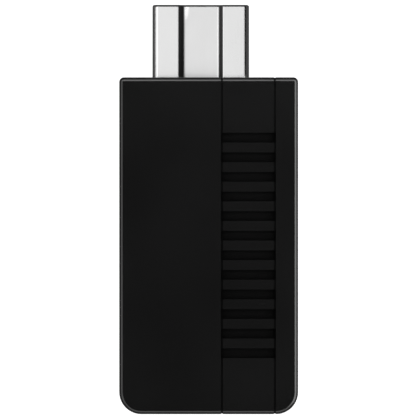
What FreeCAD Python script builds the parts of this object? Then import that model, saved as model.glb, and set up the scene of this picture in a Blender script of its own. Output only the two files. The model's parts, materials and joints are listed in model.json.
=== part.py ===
"""Plug-in wireless receiver dongle.

A two-part plastic case with a ribbed strip on its roof, a keyed metal plug at one end, and a
pairing button, a status light and a small service port at the other. A circuit board inside
carries the electronics, and a small side-push switch springs the button back.

Frame: millimetres, +Z up. The origin is the centre of the flat underside. The plug points along
+Y, and the button, light and port face -Y. Every size is a named cell of the Dims sheet.
"""

import FreeCAD
import Part
import Sketcher
import math
import os
import re

NEAR = 1e-4  # mm: how closely an edge must lie on a plane to be picked for a fillet

CASE = {
    "overrun": 1.0,  # how far a cutting profile starts outside the solid it cuts
    "sunk": 0.3,  # how far an inner feature starts inside the wall that it stands on
    "case_width": 23.1,
    "case_length": 43.5,
    "case_height": 13.2,
    "split_height": 7.2,  # the lower case ends here and the upper case begins
    "side_wall": 1.4,
    "roof_wall": 1.8,
    "floor_wall": 1.5,
    "front_corner": 0.6,  # upright corner radii at the plug end and the button end
    "rear_corner": 2.85,
    "rim_radius": 0.5,
    "base_radius": 0.9,
    "base_draft": 2.5,  # degrees that the lower walls lean in
    "seam_bevel": 0.14,
    "groove_left": 1.71,
    "groove_right": 8.55,
    "groove_width": 0.26,
    "groove_depth": 0.17,
    "slot_count": 12,
    "slot_pitch": 2.53,
    "slot_width": 1.27,
    "slots_along": 0.04,  # from the case's middle to the middle of the row of slots
    "slot_depth": 0.85,
    "lip_height": 0.9,
    "lip_width": 0.55,
    "lip_gap": 0.06,
    "window_reach": 1.5,  # how far a window's cut carries on behind the wall
    "label_width": 13.0,
    "label_length": 15.0,
    "label_along": -10.6,
    "label_recess": 0.2,
    "label_thickness": 0.15,
    "label_corner": 0.8,
}

FIXINGS = {
    "hook_place": 8.4,  # the snap hooks stand this far either side of the middle
    "hook_width": 3.6,
    "hook_thickness": 0.75,
    "hook_gap": 0.1,
    "hook_foot": 5.2,
    "barb_reach": 0.42,
    "barb_low": 5.5,
    "barb_high": 6.2,
    "barb_lead": 0.2,  # height of the barb's edge above the barb's slope
    "barb_room": 0.1,
    "catch_room": 0.2,
    "boss_across": 7.3,
    "boss_front": 9.4,
    "boss_rear": 12.2,
    "boss_radius": 1.7,
    "post_radius": 1.36,
    "pilot_radius": 0.83,
    "pilot_depth": 3.8,
    "screw_radius": 0.8,
    "screw_length": 3.6,
    "screw_point": 0.6,
    "screw_hole_radius": 0.95,
    "head_radius": 1.4,
    "head_height": 0.8,
    "drive_width": 0.32,
    "drive_reach": 0.85,
    "drive_depth": 0.45,
    "rib_thickness": 1.0,
    "rib_high": 9.0,  # the roof's rib ends here, and the floor's rib ends at rib_low
    "rib_low": 4.4,
    "fit_gap": 0.05,  # the clearance left between neighbouring pieces
}

PLUG = {
    "plug_across": -1.02,  # the plug stands a little left of the case's middle
    "plug_height": 6.6,
    "plug_width": 12.5,
    "plug_depth": 7.4,
    "plug_reach": 9.4,
    "plug_corner": 0.72,
    "plug_tip_edge": 0.3,
    "sheet": 0.35,
    "key_width": 5.1,
    "key_depth": 1.6,
    "key_bend": 0.42,
    "catch_width": 1.3,
    "catch_length": 2.2,
    "catch_back": 4.2,  # from the plug's tip to the middle of a catch window
    "catch_drop": 0.6,
    "seam_width": 0.07,
    "tab_height": 2.0,
    "tab_reach": 7.0,
    "tab_lap": 0.2,
    "core_recess": 0.35,
    "core_shoulder": 0.2,
    "socket_width": 8.6,
    "socket_low": 5.0,
    "socket_high": 7.4,
    "socket_depth": 8.6,
    "flange_width": 15.0,
    "flange_low": 1.85,
    "flange_high": 11.05,
    "flange_length": 3.1,
    "contact_pitch": 2.6,
    "contact_width": 0.9,
    "contact_sheet": 0.2,
    "contact_tail": 13.9,
    "contact_tip": 30.15,
    "contact_bend": 1.4,
    "contact_rise": 0.2,
    "contact_nose": 2.2,
    "contact_bow": 6.85,
    "contact_low_bow": 5.55,
    "channel_width": 1.04,
    "channel_depth": 0.5,
}

BOARD = {
    "board_width": 18.2,
    "board_front": 16.4,
    "board_rear": 20.0,
    "board_low": 6.1,
    "board_thickness": 1.0,
    "board_corner": 0.5,
    "shield_across": -1.5,
    "shield_along": 1.0,
    "shield_width": 12.4,
    "shield_length": 11.4,
    "shield_height": 1.4,
    "shield_sheet": 0.2,
    "lid_gap": 0.03,
    "lid_lift": 0.3,
    "lid_hole_pitch": 2.2,
    "lid_hole_radius": 0.4,
    "chip_mark": 0.3,
    "chip_mark_depth": 0.06,
    "lead_sheet": 0.15,
    "lead_width": 0.4,
    "lead_reach": 1.05,
    "flash_lead_pitch": 1.27,
    "regulator_lead_pitch": 0.95,
    "can_flange": 0.4,
    "coil_step": 0.7,
    "capacitor_length": 1.6,
    "capacitor_width": 0.8,
    "capacitor_height": 0.8,
    "capacitor_end": 0.35,
    "resistor_length": 1.0,
    "resistor_width": 0.5,
    "resistor_height": 0.35,
    "resistor_end": 0.22,
}

# Middle, size and lift off the board of the larger parts on the board.
BOARD_PARTS = {
    "main_processor": {
        "across": -3.6, "along": 1.6, "width": 6.4, "length": 6.4, "height": 0.85, "lift": 0.03
    },
    "memory_chip": {
        "across": 2.2, "along": 3.2, "width": 3.6, "length": 4.4, "height": 0.75, "lift": 0.03
    },
    "flash_chip": {
        "across": -3.8, "along": -8.3, "width": 3.9, "length": 4.9, "height": 1.3, "lift": 0.1
    },
    "voltage_regulator": {
        "across": 6.9, "along": -4.2, "width": 1.6, "length": 2.9, "height": 1.0, "lift": 0.1
    },
    "crystal": {"across": 2.2, "along": -2.2, "width": 3.2, "length": 2.5, "height": 0.7},
    "power_inductor": {"across": 6.9, "along": 1.2, "width": 3.0, "length": 3.0, "height": 1.4},
    "chip_antenna": {"across": 7.2, "along": 14.4, "width": 3.2, "length": 1.6, "height": 1.1},
    "tank_capacitor": {"across": 1.6, "along": -11.0, "width": 2.8, "length": 3.5, "height": 1.8},
}

# Middles of the smallest parts on the board, across and along.
CAPACITOR_PLACES = [(-8.0, -7.4), (-8.0, -9.0), (4.2, -8.0), (4.2, -9.6), (3.4, 9.6), (-4.6, 9.0)]
RESISTOR_PLACES = [(6.9, -7.4), (6.9, -8.6), (-0.6, 9.2), (-0.6, 10.4), (5.2, -14.6), (7.4, -15.8)]

REAR = {
    "rear_height": 8.75,  # the centre line of the button and the light
    "button_across": 4.4,
    "button_width": 3.9,
    "button_tall": 1.7,
    "button_corner": 0.3,
    "button_inset": 0.05,
    "button_flange": 0.4,
    "button_edge": 0.15,
    "button_lap": 0.4,  # how far the flange reaches past the cap on each side
    "window_gap": 0.06,
    "switch_width": 4.4,
    "switch_length": 2.4,
    "switch_tall": 2.8,
    "switch_front": 19.25,
    "switch_cover": 0.15,
    "plunger_width": 1.3,
    "plunger_tall": 1.0,
    "plunger_tip": 19.9,
    "dome_radius": 1.05,
    "dome_rise": 0.45,
    "dome_sheet": 0.08,
    "dome_back": 17.9,
    "well_width": 3.0,
    "well_tall": 2.3,
    "cover_fold": 1.4,
    "plunger_gap": 0.08,
    "collar_length": 0.45,
    "nub_radius": 0.45,
    "slip_gap": 0.02,  # clearance between faces that nearly touch at rest
    "light_across": 7.45,
    "light_width": 0.8,
    "light_tall": 1.7,
    "light_corner": 0.2,
    "light_back": 19.15,
    "led_width": 1.2,
    "led_length": 1.0,
    "led_height": 0.8,
    "led_base_length": 0.6,
    "led_lens_width": 0.9,
    "guide_lap": 0.15,
    "port_across": -3.6,
    "port_width": 7.5,
    "port_tall": 2.45,
    "port_length": 5.0,
    "port_inset": 0.4,
    "port_sheet": 0.25,
    "port_bevel": 0.8,
    "port_corner": 0.35,
    "port_window_gap": 0.2,
    "tongue_width": 3.7,
    "tongue_sheet": 0.6,
    "tongue_inset": 0.5,
    "tongue_lift": 0.2,
    "block_length": 1.3,
    "port_contact_pitch": 0.65,
    "port_contact_width": 0.4,
    "port_contact_sheet": 0.1,
}

DIMENSIONS = {**CASE, **FIXINGS, **PLUG, **BOARD, **REAR}
for part_name, values in BOARD_PARTS.items():
    DIMENSIONS.update({f"{part_name}_{key}": value for key, value in values.items()})

SIDES = {"-1": "left", "1": "right"}
ENDS = {"-1": "rear", "1": "front"}

doc = FreeCAD.newDocument("ReceiverDongle")
sheet = doc.addObject("Spreadsheet::Sheet", "Dims")


# ---------------------------------------------------------------- sheet and formulas

def fill_sheet():
    """Writes one row for each driving dimension: its name, and its value with that name as alias."""
    for row, (name, value) in enumerate(DIMENSIONS.items(), 1):
        sheet.set(f"A{row}", name)
        sheet.set(f"B{row}", str(value))
        sheet.setAlias(f"B{row}", name)
    doc.recompute()


def formula(text):
    """The formula with each dimension's name pointing at the sheet."""
    return re.sub(
        r"[a-z][a-z_]*",
        lambda word: "Dims." + word.group(0) if word.group(0) in DIMENSIONS else word.group(0),
        text,
    )


def number(text):
    """The formula's present value."""
    return float(sheet.evalExpression(formula(text)))


# ---------------------------------------------------------------- sketches

def sketch(body, name, plane, offset):
    """An empty sketch on an origin plane of its body, moved along that plane's normal."""
    made = body.newObject("Sketcher::SketchObject", name)
    support = [item for item in body.Origin.OriginFeatures if item.Role == plane][0]
    made.AttachmentSupport = [(support, "")]
    made.MapMode = "FlatFace"
    made.setExpression("AttachmentOffset.Base.z", formula(offset))
    return made


def hold(target, kind, line, point, text):
    """Ties a point's distance from the sketch origin to a formula."""
    index = target.addConstraint(Sketcher.Constraint(kind, -1, 1, line, point, number(text)))
    target.setExpression(f"Constraints[{index}]", formula(text))


def polygon(target, corners):
    """A closed run of straight lines through (across, up) formulas."""
    first = target.GeometryCount
    count = len(corners)
    places = [FreeCAD.Vector(number(across), number(up), 0) for across, up in corners]
    for index in range(count):
        target.addGeometry(Part.LineSegment(places[index], places[(index + 1) % count]), False)
    for index in range(count):
        following = first + (index + 1) % count
        target.addConstraint(Sketcher.Constraint("Coincident", first + index, 2, following, 1))
    for index, (across, up) in enumerate(corners):
        hold(target, "DistanceX", first + index, 1, across)
        hold(target, "DistanceY", first + index, 1, up)


def rectangle(target, left, right, low, high):
    """A rectangle between four formulas."""
    polygon(target, [(left, low), (right, low), (right, high), (left, high)])


def rounded_rectangle(target, left, right, low, high, low_radius, high_radius):
    """A rectangle with one radius for its two low corners and another for its two high ones."""
    first = target.GeometryCount
    x_low, x_high = number(left), number(right)
    y_low, y_high = number(low), number(high)
    small, large = number(low_radius), number(high_radius)
    turns = [
        (x_high - small, y_low + small, small, -90),
        (x_high - large, y_high - large, large, 0),
        (x_low + large, y_high - large, large, 90),
        (x_low + small, y_low + small, small, 180),
    ]
    arcs = []
    for across, up, radius, start in turns:
        ring = Part.Circle(FreeCAD.Vector(across, up, 0), FreeCAD.Vector(0, 0, 1), radius)
        arcs.append(Part.ArcOfCircle(ring, math.radians(start), math.radians(start + 90)))
    for index, arc in enumerate(arcs):
        target.addGeometry(arc, False)
        target.addGeometry(
            Part.LineSegment(arc.EndPoint, arcs[(index + 1) % 4].StartPoint), False
        )
    for index in range(4):
        arc = first + 2 * index
        line = arc + 1
        following = first + (2 * index + 2) % 8
        target.addConstraint(Sketcher.Constraint("Tangent", arc, 2, line, 1))
        target.addConstraint(Sketcher.Constraint("Tangent", line, 2, following, 1))
        target.addConstraint(Sketcher.Constraint(("Vertical", "Horizontal")[index % 2], line))
        radius = low_radius if index in (0, 3) else high_radius
        made = target.addConstraint(Sketcher.Constraint("Radius", arc, number(radius)))
        target.setExpression(f"Constraints[{made}]", formula(radius))
    hold(target, "DistanceX", first + 1, 1, right)
    hold(target, "DistanceY", first + 3, 1, high)
    hold(target, "DistanceX", first + 5, 1, left)
    hold(target, "DistanceY", first + 7, 1, low)


def circle(target, across, up, radius):
    """A full circle."""
    centre = FreeCAD.Vector(number(across), number(up), 0)
    ring = Part.Circle(centre, FreeCAD.Vector(0, 0, 1), number(radius))
    index = target.addGeometry(ring, False)
    hold(target, "DistanceX", index, 3, across)
    hold(target, "DistanceY", index, 3, up)
    made = target.addConstraint(Sketcher.Constraint("Radius", index, number(radius)))
    target.setExpression(f"Constraints[{made}]", formula(radius))


# ---------------------------------------------------------------- solid features

def new_body(label):
    """A part-design body whose label names its file."""
    return doc.addObject("PartDesign::Body", label)


def extrude(kind, body, profile, length, backwards, both_ways, taper):
    """A pad or a pocket. It stops if the solid's volume doesn't change the way it should."""
    doc.recompute()
    before = body.Shape.Volume if body.Tip else 0.0
    made = body.newObject(f"PartDesign::{kind}", f"{profile.Name}_{kind.lower()}")
    made.Profile = profile
    made.setExpression("Length", formula(length))
    made.Reversed = backwards
    if both_ways:
        made.SideType = "Symmetric"
    if taper:
        made.setExpression("TaperAngle", formula(taper))
    profile.Visibility = False
    doc.recompute()
    change = body.Shape.Volume - before
    if (change <= 0) if kind == "Pad" else (change >= 0):
        raise RuntimeError(f"{made.Name} changed the volume by {change:.3f}")
    return made


def pad(body, profile, length, backwards=False, both_ways=False, taper=None):
    """Adds material along the sketch's normal."""
    return extrude("Pad", body, profile, length, backwards, both_ways, taper)


def pocket(body, profile, depth, backwards=False, both_ways=False):
    """Removes material against the sketch's normal, or along it when backwards."""
    return extrude("Pocket", body, profile, depth, backwards, both_ways, None)


def revolve(body, profile):
    """Turns a half section about its own last line."""
    doc.recompute()
    made = body.newObject("PartDesign::Revolution", f"{profile.Name}_turned")
    made.Profile = profile
    made.ReferenceAxis = (profile, [f"Edge{profile.GeometryCount}"])
    made.Angle = 360
    profile.Visibility = False
    doc.recompute()
    return made


def edges_at(body, x=None, y=None, z=None):
    """Names of the body's edges that lie wholly at the given places."""
    wanted = [(axis, number(text)) for axis, text in enumerate((x, y, z)) if text is not None]
    names = []
    for index, edge in enumerate(body.Shape.Edges, 1):
        if edge.Degenerated:
            continue
        low, high = edge.ParameterRange
        points = [edge.valueAt(low + (high - low) * share) for share in (0.0, 0.3, 0.7, 1.0)]
        if all(abs(point[axis] - place) < NEAR for axis, place in wanted for point in points):
            names.append(f"Edge{index}")
    return names


def dress(kind, body, name, edges, size_name, size):
    """A fillet or chamfer on named edges of the body's present shape."""
    if not edges:
        raise RuntimeError(f"{name} found no edges")
    base = body.Tip
    made = body.newObject(f"PartDesign::{kind}", name)
    made.Base = (base, edges)
    made.setExpression(size_name, formula(size))
    body.Tip = made
    doc.recompute()
    if made.State and ("Invalid" in made.State or "Error" in made.State):
        raise RuntimeError(f"{name} failed")
    return made


def fillet(body, name, radius, edges):
    """Rounds edges."""
    return dress("Fillet", body, name, edges, "Radius", radius)


def chamfer(body, name, size, edges):
    """Bevels edges."""
    return dress("Chamfer", body, name, edges, "Size", size)


def repeat(body, feature, axis, occurrences, spacing):
    """Repeats a feature along an origin axis."""
    made = body.newObject("PartDesign::LinearPattern", f"{feature.Name}_row")
    made.Originals = [feature]
    line = [item for item in body.Origin.OriginFeatures if item.Role == axis][0]
    made.Direction = (line, [""])
    made.setExpression("Occurrences", formula(occurrences))
    made.setExpression("Length", formula(f"({occurrences} - 1) * {spacing}"))
    body.Tip = made
    doc.recompute()
    return made


# ---------------------------------------------------------------- plain Part shapes

def box(name, x_low, x_high, y_low, y_high, z_low, z_high):
    """A block between six formulas."""
    made = doc.addObject("Part::Box", name)
    made.setExpression("Length", formula(f"({x_high}) - ({x_low})"))
    made.setExpression("Width", formula(f"({y_high}) - ({y_low})"))
    made.setExpression("Height", formula(f"({z_high}) - ({z_low})"))
    made.setExpression("Placement.Base.x", formula(x_low))
    made.setExpression("Placement.Base.y", formula(y_low))
    made.setExpression("Placement.Base.z", formula(z_low))
    return made


def centred_box(name, across, along, low, width, length, height):
    """A block standing on a level, placed by its middle."""
    return box(
        name,
        f"({across}) - ({width}) / 2",
        f"({across}) + ({width}) / 2",
        f"({along}) - ({length}) / 2",
        f"({along}) + ({length}) / 2",
        low,
        f"({low}) + ({height})",
    )


def cylinder(name, across, along, low, radius, height):
    """An upright cylinder."""
    made = doc.addObject("Part::Cylinder", name)
    made.setExpression("Radius", formula(radius))
    made.setExpression("Height", formula(height))
    made.setExpression("Placement.Base.x", formula(across))
    made.setExpression("Placement.Base.y", formula(along))
    made.setExpression("Placement.Base.z", formula(low))
    return made


def cut(name, base, tool):
    """Base without tool."""
    made = doc.addObject("Part::Cut", name)
    made.Base = base
    made.Tool = tool
    return made


def joined(name, shapes):
    """Several overlapping shapes as one solid."""
    made = doc.addObject("Part::MultiFuse", name)
    made.Shapes = shapes
    made.Refine = True
    return made


def group(name, shapes):
    """Several separate solids that share one node."""
    made = doc.addObject("Part::Compound", name)
    made.Links = shapes
    return made


BOARD_TOP = "board_low + board_thickness"


# ---------------------------------------------------------------- case

def case_outline(target, shrink):
    """The case's plan, pulled in by a formula."""
    rounded_rectangle(
        target,
        f"-case_width / 2 + {shrink}",
        f"case_width / 2 - {shrink}",
        f"-case_length / 2 + {shrink}",
        f"case_length / 2 - {shrink}",
        f"rear_corner - {shrink}",
        "front_corner",
    )


def groove(body, name, across):
    """A fine line cut over the roof and down both ends of the upper case."""
    profile = sketch(body, name, "YZ_Plane", across)
    end = "case_length / 2"
    outside = f"{end} + overrun"
    inside = f"{end} - groove_depth"
    shoulder = f"{end} - rim_radius"
    under_split = "split_height - overrun"
    polygon(
        profile,
        [
            (f"-({outside})", under_split),
            (f"-({outside})", "case_height + overrun"),
            (outside, "case_height + overrun"),
            (outside, under_split),
            (inside, under_split),
            (inside, "case_height - rim_radius"),
            (shoulder, "case_height - groove_depth"),
            (f"-({shoulder})", "case_height - groove_depth"),
            (f"-({inside})", "case_height - rim_radius"),
            (f"-({inside})", under_split),
        ],
    )
    pocket(body, profile, "groove_width", both_ways=True)


def rear_windows(body):
    """Openings through the rear wall for the port, the button and the light."""
    port = sketch(body, f"{body.Name}_port_window", "XZ_Plane", "case_length / 2 + overrun")
    middle = f"({BOARD_TOP} + port_tall / 2)"
    half_width = "(port_width / 2 + port_window_gap)"
    half_height = "(port_tall / 2 + port_window_gap)"
    rounded_rectangle(
        port,
        f"port_across - {half_width}",
        f"port_across + {half_width}",
        f"{middle} - {half_height}",
        f"{middle} + {half_height}",
        "port_corner + port_window_gap",
        "port_bevel",
    )
    pocket(body, port, "overrun + side_wall + window_reach")
    for name, across, width, tall, corner in (
        ("button_window", "button_across", "button_width", "button_tall", "button_corner"),
        ("light_window", "light_across", "light_width", "light_tall", "light_corner"),
    ):
        window = sketch(body, f"{body.Name}_{name}", "XZ_Plane", "case_length / 2 + overrun")
        rounded_rectangle(
            window,
            f"{across} - {width} / 2 - window_gap",
            f"{across} + {width} / 2 + window_gap",
            f"rear_height - {tall} / 2 - window_gap",
            f"rear_height + {tall} / 2 + window_gap",
            f"{corner} + window_gap",
            f"{corner} + window_gap",
        )
        pocket(body, window, "overrun + side_wall + window_reach")


def plug_window(body):
    """The keyed opening in the front wall, which follows the plug's shell."""
    window = sketch(body, f"{body.Name}_plug_window", "XZ_Plane", "-case_length / 2 - overrun")
    left = "plug_across - plug_width / 2 - window_gap"
    right = "plug_across + plug_width / 2 + window_gap"
    low = "plug_height - plug_depth / 2 - window_gap"
    high = "plug_height + plug_depth / 2 + window_gap"
    key_left = "plug_across - key_width / 2 + window_gap"
    key_right = "plug_across + key_width / 2 - window_gap"
    key_floor = f"{high} - key_depth"
    corner = "plug_corner * 0.5"
    bend = "key_bend"
    polygon(
        window,
        [
            (left, f"{low} + {corner}"),
            (f"{left} + {corner}", low),
            (f"{right} - {corner}", low),
            (right, f"{low} + {corner}"),
            (right, f"{high} - {corner}"),
            (f"{right} - {corner}", high),
            (key_right, high),
            (key_right, f"{key_floor} + {bend}"),
            (f"{key_right} - {bend}", key_floor),
            (f"{key_left} + {bend}", key_floor),
            (key_left, f"{key_floor} + {bend}"),
            (key_left, high),
            (f"{left} + {corner}", high),
            (left, f"{high} - {corner}"),
        ],
    )
    pocket(body, window, "overrun + side_wall + window_reach", backwards=True)


def screw_places():
    """The two places where screws hold the board, on one diagonal."""
    return (("-boss_across", "boss_front"), ("boss_across", "-boss_rear"))


def support_places():
    """The two places where the case only clamps the board, on the other diagonal."""
    return (("boss_across", "boss_front"), ("-boss_across", "-boss_rear"))


def top_case():
    """Upper shell with the ribbed strip, snap hooks and clamping posts."""
    body = new_body("top_case")
    outline = sketch(body, "top_outline", "XY_Plane", "split_height")
    case_outline(outline, "0")
    pad(body, outline, "case_height - split_height")
    fillet(body, "top_rim", "rim_radius", edges_at(body, z="case_height"))
    chamfer(body, "top_seam_bevel", "seam_bevel", edges_at(body, z="split_height"))

    hollow = sketch(body, "top_hollow", "XY_Plane", "split_height")
    case_outline(hollow, "side_wall")
    pocket(body, hollow, "case_height - roof_wall - split_height", backwards=True)
    rabbet = sketch(body, "top_rabbet", "XY_Plane", "split_height")
    case_outline(rabbet, "(side_wall - lip_width - lip_gap)")
    pocket(body, rabbet, "lip_height + lip_gap", backwards=True)

    slot = sketch(body, "first_slot", "XY_Plane", "case_height")
    first = "(slot_count - 1) / 2 * slot_pitch"
    rectangle(
        slot,
        "groove_left - groove_width / 2",
        "groove_right + groove_width / 2",
        f"slots_along - {first} - slot_width / 2",
        f"slots_along - {first} + slot_width / 2",
    )
    slot_cut = pocket(body, slot, "slot_depth")
    repeat(body, slot_cut, "Y_Axis", "slot_count", "slot_pitch")
    groove(body, "left_groove", "groove_left")
    groove(body, "right_groove", "groove_right")
    rear_windows(body)
    plug_window(body)
    top_inside(body)
    return body


def top_inside(body):
    """Posts, the flange rib and the four snap hooks under the roof."""
    roof = "case_height - roof_wall"
    posts = sketch(body, "top_posts", "XY_Plane", f"{roof} + sunk")
    for across, along in support_places():
        circle(posts, across, along, "post_radius")
    pad(body, posts, f"{roof} + sunk - ({BOARD_TOP}) - fit_gap", backwards=True)

    rib = sketch(body, "top_rib", "XY_Plane", f"{roof} + sunk")
    rear_of_flange = "case_length / 2 - side_wall - flange_length - fit_gap * 2"
    rectangle(
        rib,
        "plug_across - flange_width / 2",
        "plug_across + flange_width / 2",
        f"{rear_of_flange} - rib_thickness",
        rear_of_flange,
    )
    pad(body, rib, f"{roof} + sunk - rib_high", backwards=True)

    inner = "(case_width / 2 - side_wall - hook_gap)"
    for side in SIDES:
        for end in ENDS:
            tag = f"hook_{SIDES[side]}_{ENDS[end]}"
            profile = sketch(body, tag, "XZ_Plane", f"-({end}) * hook_place")
            polygon(
                profile,
                [
                    (f"{side} * ({inner} - hook_thickness)", f"{roof} + sunk"),
                    (f"{side} * ({inner} - hook_thickness)", "hook_foot"),
                    (f"{side} * ({inner} - hook_thickness / 3)", "hook_foot"),
                    (f"{side} * ({inner} + barb_reach)", "barb_low + barb_lead"),
                    (f"{side} * ({inner} + barb_reach)", "barb_high"),
                    (f"{side} * {inner}", "barb_high"),
                    (f"{side} * {inner}", f"{roof} + sunk"),
                ],
            )
            pad(body, profile, "hook_width", both_ways=True)


def bottom_case():
    """Lower shell with the lip, board bosses, hook pockets and plug cradle."""
    body = new_body("bottom_case")
    outline = sketch(body, "bottom_outline", "XY_Plane", "split_height")
    case_outline(outline, "0")
    pad(body, outline, "split_height", backwards=True, taper="-base_draft")
    fillet(body, "base_edge", "base_radius", edges_at(body, z="0"))
    chamfer(body, "bottom_seam_bevel", "seam_bevel", edges_at(body, z="split_height"))

    hollow = sketch(body, "bottom_hollow", "XY_Plane", "split_height")
    case_outline(hollow, "side_wall")
    pocket(body, hollow, "split_height - floor_wall")
    lip = sketch(body, "bottom_lip", "XY_Plane", "split_height")
    case_outline(lip, "(side_wall - lip_width)")
    case_outline(lip, "side_wall")
    pad(body, lip, "lip_height")

    label = sketch(body, "label_recess_outline", "XY_Plane", "0")
    rounded_rectangle(
        label,
        "-label_width / 2",
        "label_width / 2",
        "label_along - label_length / 2",
        "label_along + label_length / 2",
        "label_corner",
        "label_corner",
    )
    pocket(body, label, "label_recess", backwards=True)
    bottom_inside(body)
    rear_windows(body)
    plug_window(body)
    return body


def bottom_inside(body):
    """Bosses and pillars under the board, the flange rib and the hook pockets."""
    footing = "floor_wall - sunk"
    posts = sketch(body, "bottom_posts", "XY_Plane", footing)
    for across, along in screw_places():
        circle(posts, across, along, "boss_radius")
    for across, along in support_places():
        circle(posts, across, along, "post_radius")
    pad(body, posts, f"board_low - ({footing})")
    pilots = sketch(body, "pilot_holes", "XY_Plane", "board_low")
    for across, along in screw_places():
        circle(pilots, across, along, "pilot_radius")
    pocket(body, pilots, "pilot_depth")

    rib = sketch(body, "bottom_rib", "XY_Plane", footing)
    rear_of_flange = "case_length / 2 - side_wall - flange_length - fit_gap * 2"
    rectangle(
        rib,
        "plug_across - flange_width / 2",
        "plug_across + flange_width / 2",
        f"{rear_of_flange} - rib_thickness",
        rear_of_flange,
    )
    pad(body, rib, f"rib_low - ({footing})")

    inner = "(case_width / 2 - side_wall)"
    for side in SIDES:
        for end in ENDS:
            tag = f"catch_{SIDES[side]}_{ENDS[end]}"
            profile = sketch(body, tag, "XZ_Plane", f"-({end}) * hook_place")
            rectangle(
                profile,
                f"{side} * ({inner} - hook_gap)",
                f"{side} * ({inner} + barb_reach)",
                "barb_low - barb_room",
                "barb_high + barb_room",
            )
            pocket(body, profile, "hook_width + catch_room * 2", both_ways=True)


def base_label():
    """Blank label in the recess of the underside."""
    inset = "fit_gap * 2"
    body = new_body("base_label")
    outline = sketch(body, "label_outline", "XY_Plane", "label_recess - label_thickness")
    rounded_rectangle(
        outline,
        f"-label_width / 2 + {inset}",
        f"label_width / 2 - {inset}",
        f"label_along - label_length / 2 + {inset}",
        f"label_along + label_length / 2 - {inset}",
        f"label_corner - {inset}",
        f"label_corner - {inset}",
    )
    pad(body, outline, "label_thickness")
    return body


# ---------------------------------------------------------------- plug

PLUG_LOW = "(plug_height - plug_depth / 2)"
PLUG_HIGH = "(plug_height + plug_depth / 2)"
PLUG_TIP = "(case_length / 2 + plug_reach)"
FLANGE_FRONT = "(case_length / 2 - side_wall - fit_gap)"


def key_channel(body, name, spread):
    """The channel along the plug's upper face, widened and deepened by a formula."""
    channel = sketch(body, name, "XZ_Plane", f"-{PLUG_TIP} - overrun")
    rectangle(
        channel,
        f"plug_across - key_width / 2 - ({spread})",
        f"plug_across + key_width / 2 + ({spread})",
        f"{PLUG_HIGH} - key_depth - ({spread})",
        f"{PLUG_HIGH} + overrun",
    )
    return pocket(body, channel, f"{PLUG_TIP} + overrun - {FLANGE_FRONT}", backwards=True)


def plug_shell():
    """Folded steel sleeve of the plug, with its key channel, catch windows and solder tabs."""
    body = new_body("plug_shell")
    outline = sketch(body, "shell_outline", "XZ_Plane", f"-{PLUG_TIP}")
    left = "plug_across - plug_width / 2"
    right = "plug_across + plug_width / 2"
    rounded_rectangle(outline, left, right, PLUG_LOW, PLUG_HIGH, "plug_corner", "plug_corner")
    pad(body, outline, f"{PLUG_TIP} - {FLANGE_FRONT}")
    key_channel(body, "shell_channel", "0")
    walls = ["plug_across - key_width / 2", "plug_across + key_width / 2"]
    for level, tag in ((PLUG_HIGH, "upper"), (f"{PLUG_HIGH} - key_depth", "lower")):
        edges = [name for wall in walls for name in edges_at(body, x=wall, z=level)]
        fillet(body, f"{tag}_channel_bends", "key_bend", edges)
    hollow = body.newObject("PartDesign::Thickness", "shell_hollow")
    tip, root = number(PLUG_TIP), number(FLANGE_FRONT)
    open_ends = []
    for index, face in enumerate(body.Shape.Faces, 1):
        place = face.CenterOfMass.y
        flat = face.BoundBox.YLength < NEAR
        if flat and min(abs(place - tip), abs(place - root)) < NEAR:
            open_ends.append(f"Face{index}")
    hollow.Base = (doc.getObject("lower_channel_bends"), open_ends)
    hollow.setExpression("Value", formula("sheet"))
    hollow.Reversed = True
    body.Tip = hollow
    doc.recompute()

    outside = [edge.BoundBox.Center for edge in doc.getObject("lower_channel_bends").Shape.Edges]
    tip_edges = [
        name
        for name in edges_at(body, y=PLUG_TIP)
        if any(
            body.Shape.Edges[int(name[4:]) - 1].BoundBox.Center.isEqual(centre, NEAR)
            for centre in outside
        )
    ]
    fillet(body, "tip_edge", "plug_tip_edge", tip_edges)

    catches = sketch(body, "catch_windows", "YZ_Plane", "plug_across")
    rectangle(
        catches,
        f"{PLUG_TIP} - catch_back - catch_length / 2",
        f"{PLUG_TIP} - catch_back + catch_length / 2",
        "plug_height - catch_drop - catch_width / 2",
        "plug_height - catch_drop + catch_width / 2",
    )
    pocket(body, catches, "plug_width + overrun", both_ways=True)
    seam = sketch(body, "fold_seam", "XY_Plane", f"{PLUG_LOW} - overrun")
    rectangle(
        seam,
        "plug_across - seam_width / 2",
        "plug_across + seam_width / 2",
        f"{FLANGE_FRONT} - overrun",
        f"{PLUG_TIP} + overrun",
    )
    pocket(body, seam, "overrun + sheet * 1.5", backwards=True)
    for side in SIDES:
        tab = sketch(body, f"tab_{SIDES[side]}", "XY_Plane", "plug_height")
        rectangle(
            tab,
            f"plug_across + {side} * (plug_width / 2 - sheet)",
            f"plug_across + {side} * plug_width / 2",
            f"{FLANGE_FRONT} - tab_reach",
            f"{FLANGE_FRONT} + tab_lap",
        )
        pad(body, tab, "tab_height", both_ways=True)
    return body


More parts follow.
